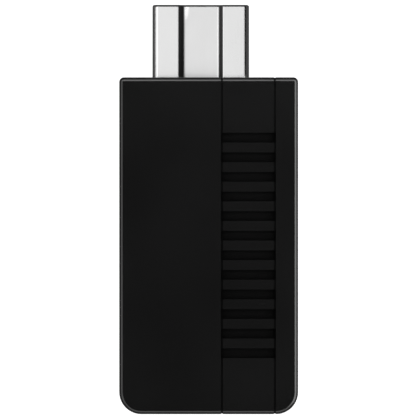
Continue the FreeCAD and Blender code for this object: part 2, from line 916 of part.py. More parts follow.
def plug_insulator():
    """Moulded core of the plug, with the socket, six contact channels and the clamped flange."""
    body = new_body("plug_insulator")
    inset = "(sheet + fit_gap)"
    core = sketch(body, "core_outline", "XZ_Plane", f"-{PLUG_TIP} + core_recess")
    rounded_rectangle(
        core,
        f"plug_across - plug_width / 2 + {inset}",
        f"plug_across + plug_width / 2 - {inset}",
        f"{PLUG_LOW} + {inset}",
        f"{PLUG_HIGH} - {inset}",
        "plug_corner - sheet + fit_gap",
        "plug_corner - sheet + fit_gap",
    )
    pad(body, core, f"{PLUG_TIP} - core_recess - {FLANGE_FRONT}")
    key_channel(body, "core_channel", inset)
    shoulders = [f"plug_across - key_width / 2 - {inset}", f"plug_across + key_width / 2 + {inset}"]
    top = f"{PLUG_HIGH} - {inset}"
    edges = [name for wall in shoulders for name in edges_at(body, x=wall, z=top)]
    fillet(body, "core_shoulders", "core_shoulder", edges)

    flange = sketch(body, "flange_outline", "XZ_Plane", f"-{FLANGE_FRONT}")
    rectangle(
        flange,
        "plug_across - flange_width / 2",
        "plug_across + flange_width / 2",
        "flange_low",
        "flange_high",
    )
    pad(body, flange, "flange_length")

    socket = sketch(body, "socket_outline", "XZ_Plane", f"-{PLUG_TIP} - overrun")
    rectangle(
        socket,
        "plug_across - socket_width / 2",
        "plug_across + socket_width / 2",
        "socket_low",
        "socket_high",
    )
    pocket(body, socket, "overrun + core_recess + socket_depth", backwards=True)
    contact_channels(body)

    slots = sketch(body, "tab_slots", "XZ_Plane", f"-{FLANGE_FRONT} - overrun")
    for side in SIDES:
        rectangle(
            slots,
            f"plug_across + {side} * (plug_width / 2 - sheet - fit_gap)",
            f"plug_across + {side} * (plug_width / 2 + fit_gap)",
            "plug_height - tab_height / 2 - fit_gap",
            "plug_height + tab_height / 2 + fit_gap",
        )
    pocket(body, slots, "flange_length + overrun * 2", backwards=True)
    return body


def contact_channels(body):
    """Six channels along the socket's roof and floor, open to the board at the back."""
    depth = f"{PLUG_TIP} - {FLANGE_FRONT} + flange_length + overrun * 2"
    for tag, low, high in (
        ("upper", f"{BOARD_TOP} - fit_gap", "socket_high + channel_depth"),
        ("lower", "socket_low - channel_depth", "board_low + fit_gap * 2"),
    ):
        channel = sketch(body, f"{tag}_channel", "XZ_Plane", f"-{PLUG_TIP} - overrun")
        rectangle(
            channel,
            "plug_across - contact_pitch - channel_width / 2",
            "plug_across - contact_pitch + channel_width / 2",
            low,
            high,
        )
        first = pocket(body, channel, depth, backwards=True)
        repeat(body, first, "X_Axis", "3", "contact_pitch")


def contact_row(label, spine):
    """Three spring contacts. The spine's corners are the (along, up) middle line of the sheet."""
    body = new_body(label)
    profile = sketch(body, f"{label}_profile", "YZ_Plane", "plug_across - contact_pitch")
    upper = [(along, f"{up} + contact_sheet / 2") for along, up in spine]
    lower = [(along, f"{up} - contact_sheet / 2") for along, up in reversed(spine)]
    polygon(profile, upper + lower)
    first = pad(body, profile, "contact_width", both_ways=True)
    repeat(body, first, "X_Axis", "3", "contact_pitch")
    return body


def plug_contacts():
    """The two rows of contacts, which spring towards each other inside the socket."""
    socket_back = f"({PLUG_TIP} - core_recess - socket_depth)"
    on_board = f"{BOARD_TOP} + contact_sheet / 2"
    under_board = "board_low - contact_sheet / 2"
    contact_row(
        "plug_contacts_upper",
        [
            ("contact_tail", on_board),
            (socket_back, on_board),
            (f"{socket_back} + contact_bend", f"{on_board} + contact_rise"),
            ("contact_tip - contact_nose", "contact_bow"),
            ("contact_tip - contact_nose * 0.64", "contact_bow"),
            ("contact_tip", "socket_high + fit_gap"),
        ],
    )
    contact_row(
        "plug_contacts_lower",
        [
            ("contact_tail", under_board),
            ("board_front + fit_gap * 2", under_board),
            (f"{socket_back} - contact_bend", "socket_low + contact_rise"),
            (f"{socket_back} + contact_bend", "socket_low"),
            ("contact_tip - contact_nose", "contact_low_bow"),
            ("contact_tip - contact_nose * 0.64", "contact_low_bow"),
            ("contact_tip", "socket_low - fit_gap"),
        ],
    )


# ---------------------------------------------------------------- board

def circuit_board():
    """Glass-epoxy board with screw holes and notches for the plug's solder tabs."""
    body = new_body("circuit_board")
    outline = sketch(body, "board_outline", "XY_Plane", "board_low")
    rounded_rectangle(
        outline,
        "-board_width / 2",
        "board_width / 2",
        "-board_rear",
        "board_front",
        "board_corner",
        "board_corner",
    )
    pad(body, outline, "board_thickness")
    holes = sketch(body, "screw_holes", "XY_Plane", BOARD_TOP)
    for across, along in screw_places():
        circle(holes, across, along, "screw_hole_radius")
    pocket(body, holes, "board_thickness + overrun")
    notches = sketch(body, "tab_notches", "XY_Plane", BOARD_TOP)
    for side in SIDES:
        rectangle(
            notches,
            f"plug_across + {side} * (plug_width / 2 - sheet - fit_gap)",
            f"plug_across + {side} * (plug_width / 2 + fit_gap)",
            f"{FLANGE_FRONT} - tab_reach - fit_gap",
            "board_front + overrun",
        )
    pocket(body, notches, "board_thickness + overrun")
    return body


def board_screw(name, across, along):
    """Pan-head screw with a cross drive, standing head up on the board."""
    body = new_body(name)
    half = sketch(body, f"{name}_half", "XZ_Plane", f"-({along})")
    top = f"{BOARD_TOP}"
    point = f"{BOARD_TOP} - screw_length"
    polygon(
        half,
        [
            (across, point),
            (f"{across} + screw_radius * 0.5", point),
            (f"{across} + screw_radius", f"{point} + screw_point"),
            (f"{across} + screw_radius", top),
            (f"{across} + head_radius", top),
            (f"{across} + head_radius", f"{top} + head_height * 0.5"),
            (f"{across} + head_radius * 0.75", f"{top} + head_height"),
            (across, f"{top} + head_height"),
        ],
    )
    revolve(body, half)
    for tag, wide, deep in (
        ("across", "drive_reach * 2", "drive_width"),
        ("along", "drive_width", "drive_reach * 2"),
    ):
        drive = sketch(body, f"{name}_drive_{tag}", "XY_Plane", f"{top} + head_height")
        rectangle(
            drive,
            f"{across} - {wide} / 2",
            f"{across} + {wide} / 2",
            f"{along} - {deep} / 2",
            f"{along} + {deep} / 2",
        )
        pocket(body, drive, "drive_depth")
    return body


def board_screws():
    """The two screws that hold the board to the lower case."""
    places = screw_places()
    screws = [board_screw(f"screw_{index}", *place) for index, place in enumerate(places, 1)]
    return group("board_screws", screws)


def chip(name):
    """A moulded chip with a round mark sunk in one corner of its top."""
    low = f"{BOARD_TOP} + {name}_lift"
    block = centred_box(
        f"{name}_block",
        f"{name}_across",
        f"{name}_along",
        low,
        f"{name}_width",
        f"{name}_length",
        f"{name}_height",
    )
    mark = cylinder(
        f"{name}_mark",
        f"{name}_across - {name}_width / 2 + chip_mark * 2",
        f"{name}_along + {name}_length / 2 - chip_mark * 2",
        f"{low} + {name}_height - chip_mark_depth",
        "chip_mark",
        "overrun",
    )
    return cut(name, block, mark)


def leads(name, owner, count, pitch):
    """Two rows of bent leads along the long sides of a chip."""
    pieces = []
    half_width = f"{owner}_width / 2"
    for side in SIDES:
        for index in range(count):
            along = f"{owner}_along + ({index} - {(count - 1) / 2}) * {pitch}"
            tag = f"{name}_{SIDES[side]}_{index}"
            upright = centred_box(
                f"{tag}_upright",
                f"{owner}_across + {side} * ({half_width} + lead_sheet / 2)",
                along,
                BOARD_TOP,
                "lead_sheet",
                "lead_width",
                f"{owner}_height / 2",
            )
            sole = centred_box(
                f"{tag}_sole",
                f"{owner}_across + {side} * ({half_width} + lead_reach / 2)",
                along,
                BOARD_TOP,
                "lead_reach",
                "lead_width",
                "lead_sheet",
            )
            pieces.append(joined(tag, [upright, sole]))
    return group(name, pieces)


def shield_block(name, grow, low, high):
    """A block over the shield's plan, grown by a formula."""
    return box(
        name,
        f"shield_across - shield_width / 2 - ({grow})",
        f"shield_across + shield_width / 2 + ({grow})",
        f"shield_along - shield_length / 2 - ({grow})",
        f"shield_along + shield_length / 2 + ({grow})",
        low,
        high,
    )


def shield():
    """Soldered frame around the radio parts, and the vented lid that clips over it."""
    under_board = f"{BOARD_TOP} - overrun"
    frame_top = f"{BOARD_TOP} + shield_height"
    outside = shield_block("frame_outside", "0", BOARD_TOP, frame_top)
    inside = shield_block("frame_inside", "-shield_sheet", under_board, f"{frame_top} + overrun")
    cut("shield_frame", outside, inside)
    roof = f"{frame_top} + lid_gap"
    skirt = f"{BOARD_TOP} + lid_lift"
    cover = shield_block("lid_outside", "lid_gap + shield_sheet", skirt, f"{roof} + shield_sheet")
    room = shield_block("lid_inside", "lid_gap", under_board, roof)
    hollow_lid = cut("lid_hollow", cover, room)
    holes = []
    for column in range(4):
        for row in range(3):
            holes.append(
                cylinder(
                    f"lid_hole_{column}_{row}",
                    f"shield_across + ({column} - 1.5) * lid_hole_pitch",
                    f"shield_along + ({row} - 1) * lid_hole_pitch",
                    frame_top,
                    "lid_hole_radius",
                    "overrun",
                )
            )
    cut("shield_lid", hollow_lid, group("lid_holes", holes))


def stepped_block(name, shrink, share):
    """A block with a narrower upper part: the crystal's can and the inductor's core."""
    size = (f"{name}_across", f"{name}_along")
    base = centred_box(
        f"{name}_base",
        *size,
        BOARD_TOP,
        f"{name}_width",
        f"{name}_length",
        f"{name}_height * {share}",
    )
    upper = centred_box(
        f"{name}_upper",
        *size,
        BOARD_TOP,
        f"{name}_width - {shrink}",
        f"{name}_length - {shrink}",
        f"{name}_height",
    )
    return joined(name, [base, upper])


def notched_block(name, notch_along, notch_width, notch_length):
    """A block with a shallow notch across its top: the antenna's gap and the tank's polarity band."""
    block = centred_box(
        f"{name}_block",
        f"{name}_across",
        f"{name}_along",
        BOARD_TOP,
        f"{name}_width",
        f"{name}_length",
        f"{name}_height",
    )
    notch = centred_box(
        f"{name}_notch",
        f"{name}_across",
        f"{name}_along + {notch_along}",
        f"{BOARD_TOP} + {name}_height - chip_mark_depth",
        notch_width,
        notch_length,
        "overrun",
    )
    return cut(name, block, notch)


def electronics():
    """Everything soldered to the upper face of the board."""
    for name in ("main_processor", "memory_chip", "flash_chip", "voltage_regulator"):
        chip(name)
    leads("flash_leads", "flash_chip", 4, "flash_lead_pitch")
    leads("regulator_leads", "voltage_regulator", 3, "regulator_lead_pitch")
    stepped_block("crystal", "can_flange", 0.55)
    stepped_block("power_inductor", "coil_step", 0.7)
    notched_block("chip_antenna", "0", "chip_antenna_width * 0.6", "chip_antenna_length * 0.3")
    notched_block(
        "tank_capacitor",
        "tank_capacitor_length * 0.37",
        "tank_capacitor_width + overrun",
        "tank_capacitor_length * 0.15",
    )
    small_parts()


def small_parts():
    """Chip capacitors and resistors, with their tinned ends as one further node."""
    ends = []
    for kind, places in (("capacitor", CAPACITOR_PLACES), ("resistor", RESISTOR_PLACES)):
        bodies = []
        length = f"{kind}_length"
        size = (f"{kind}_width", f"{kind}_height")
        for index, (across, along) in enumerate(places):
            tag = f"{kind}_{index}"
            core = f"{length} - {kind}_end * 2"
            bodies.append(centred_box(tag, str(across), str(along), BOARD_TOP, core, *size))
            for side in SIDES:
                end_across = f"({across}) + {side} * ({length} - {kind}_end) / 2"
                end_name = f"{tag}_{SIDES[side]}_end"
                end = centred_box(
                    end_name, end_across, str(along), BOARD_TOP, f"{kind}_end", *size
                )
                ends.append(end)
        group(f"chip_{kind}s", bodies)
    group("chip_ends", ends)


# ---------------------------------------------------------------- button end

INSIDE_REAR = "(case_length / 2 - side_wall - slip_gap)"


def pairing_button():
    """Keycap in the rear window, with a flange behind the wall that keeps it in."""
    body = new_body("pairing_button")
    cap = sketch(body, "cap_outline", "XZ_Plane", "case_length / 2 - button_inset")
    half_width = "button_width / 2"
    half_tall = "button_tall / 2"
    rounded_rectangle(
        cap,
        f"button_across - {half_width}",
        f"button_across + {half_width}",
        f"rear_height - {half_tall}",
        f"rear_height + {half_tall}",
        "button_corner",
        "button_corner",
    )
    pad(body, cap, f"case_length / 2 - button_inset - {INSIDE_REAR}", backwards=True)
    face = edges_at(body, y="-case_length / 2 + button_inset")
    fillet(body, "cap_edge", "button_edge", face)
    flange = sketch(body, "cap_flange", "XZ_Plane", INSIDE_REAR)
    rectangle(
        flange,
        f"button_across - {half_width} - button_lap",
        f"button_across + {half_width} + button_lap",
        f"rear_height - {half_tall} - button_lap",
        f"rear_height + {half_tall} + button_lap",
    )
    pad(body, flange, "button_flange", backwards=True)
    return body


def switch_block(name, width, front, back, tall):
    """A block centred on the button's axis, between two distances along the case."""
    return box(
        name,
        f"button_across - ({width}) / 2",
        f"button_across + ({width}) / 2",
        front,
        back,
        f"rear_height - ({tall}) / 2",
        f"rear_height + ({tall}) / 2",
    )


def side_switch():
    """Side-push switch: moulded housing, steel cover, snap dome and the plunger that moves."""
    left = "button_across - switch_width / 2"
    right = "button_across + switch_width / 2"
    front = "-switch_front"
    top = f"{BOARD_TOP} + switch_tall"
    outside = box(
        "housing_block", left, right, front, f"{front} + switch_length", BOARD_TOP, top
    )
    well_floor = "-dome_back + dome_sheet"
    well = switch_block(
        "housing_well", "well_width", f"{front} - overrun", well_floor, "well_tall"
    )
    cut("switch_housing", outside, well)

    cover = box("cover_plate", left, right, f"{front} - switch_cover", front, BOARD_TOP, top)
    cover_top = box(
        "cover_top",
        left,
        right,
        f"{front} - switch_cover",
        f"{front} + cover_fold",
        top,
        f"{top} + switch_cover",
    )
    opening = switch_block(
        "cover_opening",
        "plunger_width + plunger_gap * 2",
        f"{front} - overrun",
        f"{front} + plunger_gap",
        "plunger_tall + plunger_gap * 2",
    )
    cut("switch_cover", joined("cover_bend", [cover, cover_top]), opening)

    collar_back = f"{front} + slip_gap + collar_length"
    head = switch_block(
        "plunger_head", "plunger_width", "-plunger_tip", collar_back, "plunger_tall"
    )
    collar = switch_block(
        "plunger_collar",
        "well_width - plunger_gap * 4",
        f"{front} + slip_gap",
        collar_back,
        "well_tall - plunger_gap * 4",
    )
    nub = doc.addObject("Part::Cylinder", "plunger_nub")
    nub.Placement.Rotation = FreeCAD.Rotation(FreeCAD.Vector(1, 0, 0), -90)
    nub.setExpression("Radius", formula("nub_radius"))
    nub.setExpression("Height", formula(f"-dome_back - dome_rise - slip_gap - ({front}) - slip_gap"))
    nub.setExpression("Placement.Base.x", formula("button_across"))
    nub.setExpression("Placement.Base.y", formula(f"{front} + slip_gap"))
    nub.setExpression("Placement.Base.z", formula("rear_height"))
    joined("switch_plunger", [head, collar, nub])
    snap_dome()


def snap_dome():
    """Thin domed spring disc that stands on the floor of the switch's well."""
    body = new_body("switch_dome")
    half = sketch(body, "dome_half", "XY_Plane", "rear_height")
    rise = number("dome_rise")
    reach = number("dome_radius")
    outer_radius = (reach**2 + rise**2) / (2 * rise)
    inner_radius = outer_radius - number("dome_sheet")
    spread = math.asin(reach / outer_radius)
    middle_across = number("button_across")
    middle_along = -number("dome_back") - rise + outer_radius

    def arc_points(radius):
        """Start, middle and end of a meridian of the dome."""
        return [
            FreeCAD.Vector(
                middle_across + radius * math.sin(spread * share),
                middle_along - radius * math.cos(spread * share),
                0,
            )
            for share in (0.0, 0.5, 1.0)
        ]

    outer = arc_points(outer_radius)
    inner = arc_points(inner_radius)
    half.addGeometry(Part.Arc(*outer), False)
    half.addGeometry(Part.LineSegment(outer[2], inner[2]), False)
    half.addGeometry(Part.Arc(*reversed(inner)), False)
    half.addGeometry(Part.LineSegment(inner[0], outer[0]), False)
    revolve(body, half)
    return body


def light():
    """Side-firing light and the clear guide that carries it to the rear face."""
    led_front = "-light_back + fit_gap * 2"
    led_back = f"{led_front} + led_length"
    base = box(
        "led_base",
        "light_across - led_width / 2",
        "light_across + led_width / 2",
        f"{led_back} - led_base_length",
        led_back,
        BOARD_TOP,
        f"{BOARD_TOP} + led_height",
    )
    lens = box(
        "led_lens",
        "light_across - led_lens_width / 2",
        "light_across + led_lens_width / 2",
        led_front,
        led_back,
        BOARD_TOP,
        f"{BOARD_TOP} + led_height - lead_sheet",
    )
    joined("status_led", [base, lens])

    body = new_body("light_guide")
    nose = sketch(body, "guide_nose", "XZ_Plane", "case_length / 2 - button_inset")
    half_width = "light_width / 2"
    half_tall = "light_tall / 2"
    rounded_rectangle(
        nose,
        f"light_across - {half_width}",
        f"light_across + {half_width}",
        f"rear_height - {half_tall}",
        f"rear_height + {half_tall}",
        "light_corner",
        "light_corner",
    )
    pad(body, nose, f"case_length / 2 - button_inset - {INSIDE_REAR} + fit_gap", backwards=True)
    foot = sketch(body, "guide_foot", "XZ_Plane", INSIDE_REAR)
    rectangle(
        foot,
        f"light_across - {half_width} - guide_lap",
        f"light_across + {half_width} + guide_lap",
        f"{BOARD_TOP} + fit_gap * 2",
        f"rear_height + {half_tall} + guide_lap",
    )
    pad(body, foot, f"{INSIDE_REAR} - light_back", backwards=True)
    return body


def port_profile(target, inset):
    """Section of the port's shell: flat on the board, with bevelled upper corners."""
    left = f"port_across - port_width / 2 + ({inset})"
    right = f"port_across + port_width / 2 - ({inset})"
    low = f"{BOARD_TOP} + ({inset})"
    high = f"{BOARD_TOP} + port_tall - ({inset})"
    bevel = f"(port_bevel - ({inset}) * {2 - math.sqrt(2):.4f})"
    polygon(
        target,
        [
            (left, low),
            (right, low),
            (right, f"{high} - {bevel}"),
            (f"{right} - {bevel}", high),
            (f"{left} + {bevel}", high),
            (left, f"{high} - {bevel}"),
        ],
    )


def service_port():
    """Small service port: folded shell, insulating tongue and five contacts."""
    shell = new_body("port_shell")
    mouth = "case_length / 2 - port_inset"
    sleeve = sketch(shell, "port_sleeve", "XZ_Plane", mouth)
    port_profile(sleeve, "0")
    port_profile(sleeve, "port_sheet")
    pad(shell, sleeve, "port_length", backwards=True)

    tongue = new_body("port_tongue")
    rear_block = sketch(tongue, "port_rear_block", "XZ_Plane", f"{mouth} - port_length + block_length")
    port_profile(rear_block, "port_sheet + slip_gap")
    pad(tongue, rear_block, "block_length", backwards=True)
    blade = sketch(tongue, "port_blade", "XZ_Plane", f"{mouth} - tongue_inset")
    middle = f"({BOARD_TOP} + port_tall / 2 + tongue_lift)"
    under_tongue = f"{middle} - tongue_sheet / 2"
    rectangle(
        blade,
        "port_across - tongue_width / 2",
        "port_across + tongue_width / 2",
        under_tongue,
        f"{middle} + tongue_sheet / 2",
    )
    pad(tongue, blade, "port_length - tongue_inset - fit_gap", backwards=True)

    pieces = []
    for index in range(5):
        across = f"port_across + ({index} - 2) * port_contact_pitch"
        pieces.append(
            box(
                f"port_contact_{index}",
                f"{across} - port_contact_width / 2",
                f"{across} + port_contact_width / 2",
                f"-({mouth}) + tongue_inset * 1.5",
                f"-({mouth}) + port_length - block_length - fit_gap",
                f"{under_tongue} - port_contact_sheet",
                under_tongue,
            )
        )
    group("port_contacts", pieces)


# ---------------------------------------------------------------- build and write

NODES = [
    "top_case",
    "bottom_case",
    "base_label",
    "plug_shell",
    "plug_insulator",
    "plug_contacts_upper",
    "plug_contacts_lower",
    "circuit_board",
    "board_screws",
    "main_processor",
    "memory_chip",
    "flash_chip",
    "flash_leads",
    "voltage_regulator",
    "regulator_leads",
    "crystal",
    "power_inductor",
    "chip_antenna",
    "tank_capacitor",
    "chip_capacitors",
    "chip_resistors",
    "chip_ends",
    "shield_frame",
    "shield_lid",
    "port_shell",
    "port_tongue",
    "port_contacts",
    "pairing_button",
    "switch_housing",
    "switch_cover",
    "switch_plunger",
    "switch_dome",
    "status_led",
    "light_guide",
]


def build():
    """Makes every piece."""
    fill_sheet()
    top_case()
    bottom_case()
    base_label()
    plug_shell()
    plug_insulator()
    plug_contacts()
    circuit_board()
    board_screws()
    electronics()
    shield()
    service_port()
    pairing_button()
    side_switch()
    light()
    doc.recompute()


def write():
    """Checks every object and writes one STEP file for each node."""
    for item in doc.Objects:
        if "Invalid" in item.State or "Error" in item.State:
            raise RuntimeError(f"{item.Name} is {item.State}")
    os.makedirs("parts", exist_ok=True)
    for name in NODES:
        shape = doc.getObject(name).Shape
        if shape.isNull() or not shape.isValid() or not shape.Solids:
            raise RuntimeError(f"{name} has no valid solid")
        shape.exportStep(f"parts/{name}.step")
        print(f"{name}: {len(shape.Solids)} solids, {shape.Volume:.2f} mm3")


build()
write()
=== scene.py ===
"""Looks of the plug-in receiver: materials, the snap dome, solder on the board, stage, lights and camera.

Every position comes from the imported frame. Lengths are in metres; MM turns millimetres into metres.
"""

import json
import math

import bmesh
import bpy
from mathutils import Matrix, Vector


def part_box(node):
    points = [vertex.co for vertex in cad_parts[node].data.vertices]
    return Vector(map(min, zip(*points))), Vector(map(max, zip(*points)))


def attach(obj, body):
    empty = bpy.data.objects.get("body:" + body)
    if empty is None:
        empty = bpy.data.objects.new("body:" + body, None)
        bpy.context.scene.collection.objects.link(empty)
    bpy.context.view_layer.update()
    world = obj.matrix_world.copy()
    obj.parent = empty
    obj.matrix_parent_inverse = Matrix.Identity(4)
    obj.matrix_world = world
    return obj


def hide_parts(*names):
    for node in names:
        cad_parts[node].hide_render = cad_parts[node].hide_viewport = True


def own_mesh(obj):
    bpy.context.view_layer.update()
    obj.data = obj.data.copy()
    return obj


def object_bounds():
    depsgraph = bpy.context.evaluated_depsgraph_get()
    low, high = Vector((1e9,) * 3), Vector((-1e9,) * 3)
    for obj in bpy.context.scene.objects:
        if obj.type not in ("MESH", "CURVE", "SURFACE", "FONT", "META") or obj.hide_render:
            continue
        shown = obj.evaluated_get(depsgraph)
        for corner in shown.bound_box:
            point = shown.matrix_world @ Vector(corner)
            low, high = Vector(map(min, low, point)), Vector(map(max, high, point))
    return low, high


MM = 0.001

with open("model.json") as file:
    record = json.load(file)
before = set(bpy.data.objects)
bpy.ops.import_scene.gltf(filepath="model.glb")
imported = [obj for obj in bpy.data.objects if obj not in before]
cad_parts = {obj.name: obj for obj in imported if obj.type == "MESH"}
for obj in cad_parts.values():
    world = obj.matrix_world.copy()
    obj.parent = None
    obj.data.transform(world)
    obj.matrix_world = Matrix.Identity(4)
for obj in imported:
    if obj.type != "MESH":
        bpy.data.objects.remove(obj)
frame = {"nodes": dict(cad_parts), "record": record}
CAD_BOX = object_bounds()
NODES = frame["nodes"]
RECORD = frame["record"]
SLOT_OF = {entry["node"]: entry["material_slot"] for entry in RECORD["subparts"]}


# ---------------------------------------------------------------- node materials

HOLLOW_SHADE_REACH = 1.6  # mm: hollow places narrower than this get painted shade
HOLLOW_SHADE_CONTRAST = 1.15  # how much darker than its share of open sky the painted shade makes a hollow place
PAINTED_SHADE_LEAN = 0.7  # how far the painted shade on the case leans, as if the light came from its rear end
OVERHEAD = (0.8, 0.95)  # heights of the eye's direction between which the looks from above fade in
CLOUDS = (0.3, 0.7)  # noise values that the finishes stretch over their whole range

# The plug, seen from above, with painted dark reflections on its walls and bends. Across is a share of its
# width; depths are below its top.
LEFT_WALL_ACROSS = 0.296
WALL_DEPTHS = (0.3 * MM, 1.3 * MM)  # where the channel's walls start, and where they reach its floor
WALL_LEANS = (0.02, 0.3)  # sideways leans between which a wall is painted dark
RIGHT_WALL_LATER = (0.08, 0.37)  # how much more the right wall leans by then, at those two depths
RIGHT_WALL_PAINTED_DARK = 0.975  # how far the right wall is painted dark, as a painted dark reflection, and loses its metal shine; the left one fully
IMAGE_EDGE = (0.34 * MM, 0.58 * MM)  # where the left wall's painted dark image on the floor fades out, from the wall
IMAGE_DEPTHS = (1.5 * MM, 1.3 * MM)
# how dark the painted shade and reflection beside the left wall gets
PAINTED_IMAGE_DARK = 0.9
BEND_RISES = (0.92, 0.8)  # heights of the surface's direction between which a bend is painted dark
# how dark a bend is painted, as a painted dark reflection
BEND_PAINTED_DARK = 0.94
BEND_SIDEWAYS = 0.32  # how much sooner that is on bends that face right or towards the tip
DENT_ACROSS = 0.315  # a slight dent in the channel's floor, at its left end
DENT_BELOW = 1.6 * MM
DENT_RADII = (0.9, 2.6, 1.6)  # mm
DENT_DEPTH = 0.14  # mm, in the finish only

BORDER_INSET = 0.9 * MM  # the label's printed line
BORDER_HALF_WIDTH = 0.07 * MM
WINDOW_END = (0.36 * MM, 0.42 * MM)  # where the light's yellow window fades out, from its rear face


class Shader:
    """A material's node tree, with short calls for the nodes that the finishes share."""

    def __init__(self, name):
        self.material = bpy.data.materials.new(name)
        self.material.use_nodes = True
        self.tree = self.material.node_tree
        self.surface = self.tree.nodes["Principled BSDF"]
        self.place = self.add("ShaderNodeTexCoord").outputs["Object"]

    def add(self, kind, **settings):
        """A node with some of its attributes set."""
        node = self.tree.nodes.new(kind)
        for key, value in settings.items():
            setattr(node, key, value)
        return node

    def link(self, output, socket):
        """Joins two sockets."""
        self.tree.links.new(output, socket)

    def set(self, **values):
        """Sets inputs of the surface, with underscores for the spaces in their names."""
        for key, value in values.items():
            self.surface.inputs[key.replace("_", " ")].default_value = value

    def split(self, vector):
        """The X, Y and Z outputs of a vector socket."""
        node = self.add("ShaderNodeSeparateXYZ")
        self.link(vector, node.inputs["Vector"])
        return [node.outputs[letter] for letter in "XYZ"]

    def geometry(self, output):
        """An output of the Geometry node, such as Normal or Incoming."""
        return self.add("ShaderNodeNewGeometry").outputs[output]

    def scaled(self, per_mm):
        """Object coordinates in millimetres, times a number or an (x, y, z) of numbers."""
        node = self.add("ShaderNodeMapping")
        scale = per_mm if isinstance(per_mm, tuple) else (per_mm,) * 3
        node.inputs["Scale"].default_value = [value / MM for value in scale]
        self.link(self.place, node.inputs["Vector"])
        return node.outputs["Vector"]

    def noise(self, per_mm, detail=3.0, roughness=0.55):
        """Fractal noise with that many features to the millimetre."""
        node = self.add("ShaderNodeTexNoise")
        node.inputs["Scale"].default_value = 1.0
        node.inputs["Detail"].default_value = detail
        node.inputs["Roughness"].default_value = roughness
        self.link(self.scaled(per_mm), node.inputs["Vector"])
        return node.outputs["Fac"]

    def cells(self, per_mm):
        """Distance to the nearest point of a scatter, for grains and pits."""
        node = self.add("ShaderNodeTexVoronoi")
        node.inputs["Scale"].default_value = 1.0
        self.link(self.scaled(per_mm), node.inputs["Vector"])
        return node.outputs["Distance"]

    def spot(self, centre, radii):
        """Zero at a point in metres, rising smoothly to one at the radii in millimetres."""
        node = self.add("ShaderNodeVectorMath", operation="SUBTRACT")
        self.link(self.place, node.inputs[0])
        node.inputs[1].default_value = centre
        shrink = self.add("ShaderNodeVectorMath", operation="DIVIDE")
        self.link(node.outputs["Vector"], shrink.inputs[0])
        shrink.inputs[1].default_value = [radius * MM for radius in radii]
        length = self.add("ShaderNodeVectorMath", operation="LENGTH")
        self.link(shrink.outputs["Vector"], length.inputs[0])
        smooth = self.add("ShaderNodeMapRange", interpolation_type="SMOOTHSTEP")
        self.link(length.outputs["Value"], smooth.inputs["Value"])
        return smooth.outputs["Result"]

    def remap(self, value, low, high, new_low, new_high):
        """Carries a value from one range to another, held at the ends."""
        node = self.add("ShaderNodeMapRange")
        node.inputs["From Min"].default_value = low
        node.inputs["From Max"].default_value = high
        node.inputs["To Min"].default_value = new_low
        node.inputs["To Max"].default_value = new_high
        self.link(value, node.inputs["Value"])
        return node.outputs["Result"]

    def math(self, operation, first, second=0):
        """One arithmetic step on values or numbers."""
        node = self.add("ShaderNodeMath", operation=operation)
        for socket, value in zip(node.inputs, (first, second)):
            if isinstance(value, (int, float)):
                socket.default_value = value
            else:
                self.link(value, socket)
        return node.outputs["Value"]

    def weigh(self, first, first_weight, second, second_weight):
        """The sum of two values, each times its weight."""
        parts = (self.math("MULTIPLY", first, first_weight), self.math("MULTIPLY", second, second_weight))
        return self.math("ADD", *parts)

    def blend(self, share, first, second):
        """A colour between two colours."""
        node = self.add("ShaderNodeMix", data_type="RGBA")
        self.link(share, node.inputs["Factor"])
        for socket, value in ((node.inputs["A"], first), (node.inputs["B"], second)):
            if isinstance(value, tuple):
                socket.default_value = (*value, 1.0)
            else:
                self.link(value, socket)
        return node.outputs["Result"]

    def painted_hollow_shade(self, reach, lean):
        """Painted shade from ambient occlusion: one in the open, less in hollow places under reach, in
        millimetres. Lean favours light from -Y.
        """
        tilt = self.add("ShaderNodeVectorMath", operation="ADD")
        self.link(self.geometry("Normal"), tilt.inputs[0])
        tilt.inputs[1].default_value = (0.0, -lean, 0.0)
        unit = self.add("ShaderNodeVectorMath", operation="NORMALIZE")
        self.link(tilt.outputs["Vector"], unit.inputs[0])
        node = self.add("ShaderNodeAmbientOcclusion", samples=8, only_local=True)
        node.inputs["Distance"].default_value = reach * MM
        self.link(unit.outputs["Vector"], node.inputs["Normal"])
        in_the_open = (1.0 + 1.0 / math.sqrt(1.0 + lean * lean)) / 2
        share = self.math("POWER", node.outputs["AO"], HOLLOW_SHADE_CONTRAST)
        return self.remap(share, 0.0, in_the_open**HOLLOW_SHADE_CONTRAST, 0.0, 1.0)

    def overhead_view(self):
        """One where the eye is straight above, down to zero in views from the side."""
        return self.remap(self.split(self.geometry("Incoming"))[2], *OVERHEAD, 0.0, 1.0)

    def colour(self, output):
        """Sets the base colour from a socket."""
        self.link(output, self.surface.inputs["Base Color"])

    def rough(self, output):
        """Sets the roughness from a socket."""
        self.link(output, self.surface.inputs["Roughness"])

    def bumps(self, *layers):
        """Stacks relief: each layer is (height socket, strength, depth in millimetres)."""
        previous = None
        for height, strength, depth in layers:
            node = self.add("ShaderNodeBump")
            node.inputs["Strength"].default_value = strength
            node.inputs["Distance"].default_value = depth * MM
            self.link(height, node.inputs["Height"])
            if previous:
                self.link(previous, node.inputs["Normal"])
            previous = node.outputs["Normal"]
        self.link(previous, self.surface.inputs["Normal"])


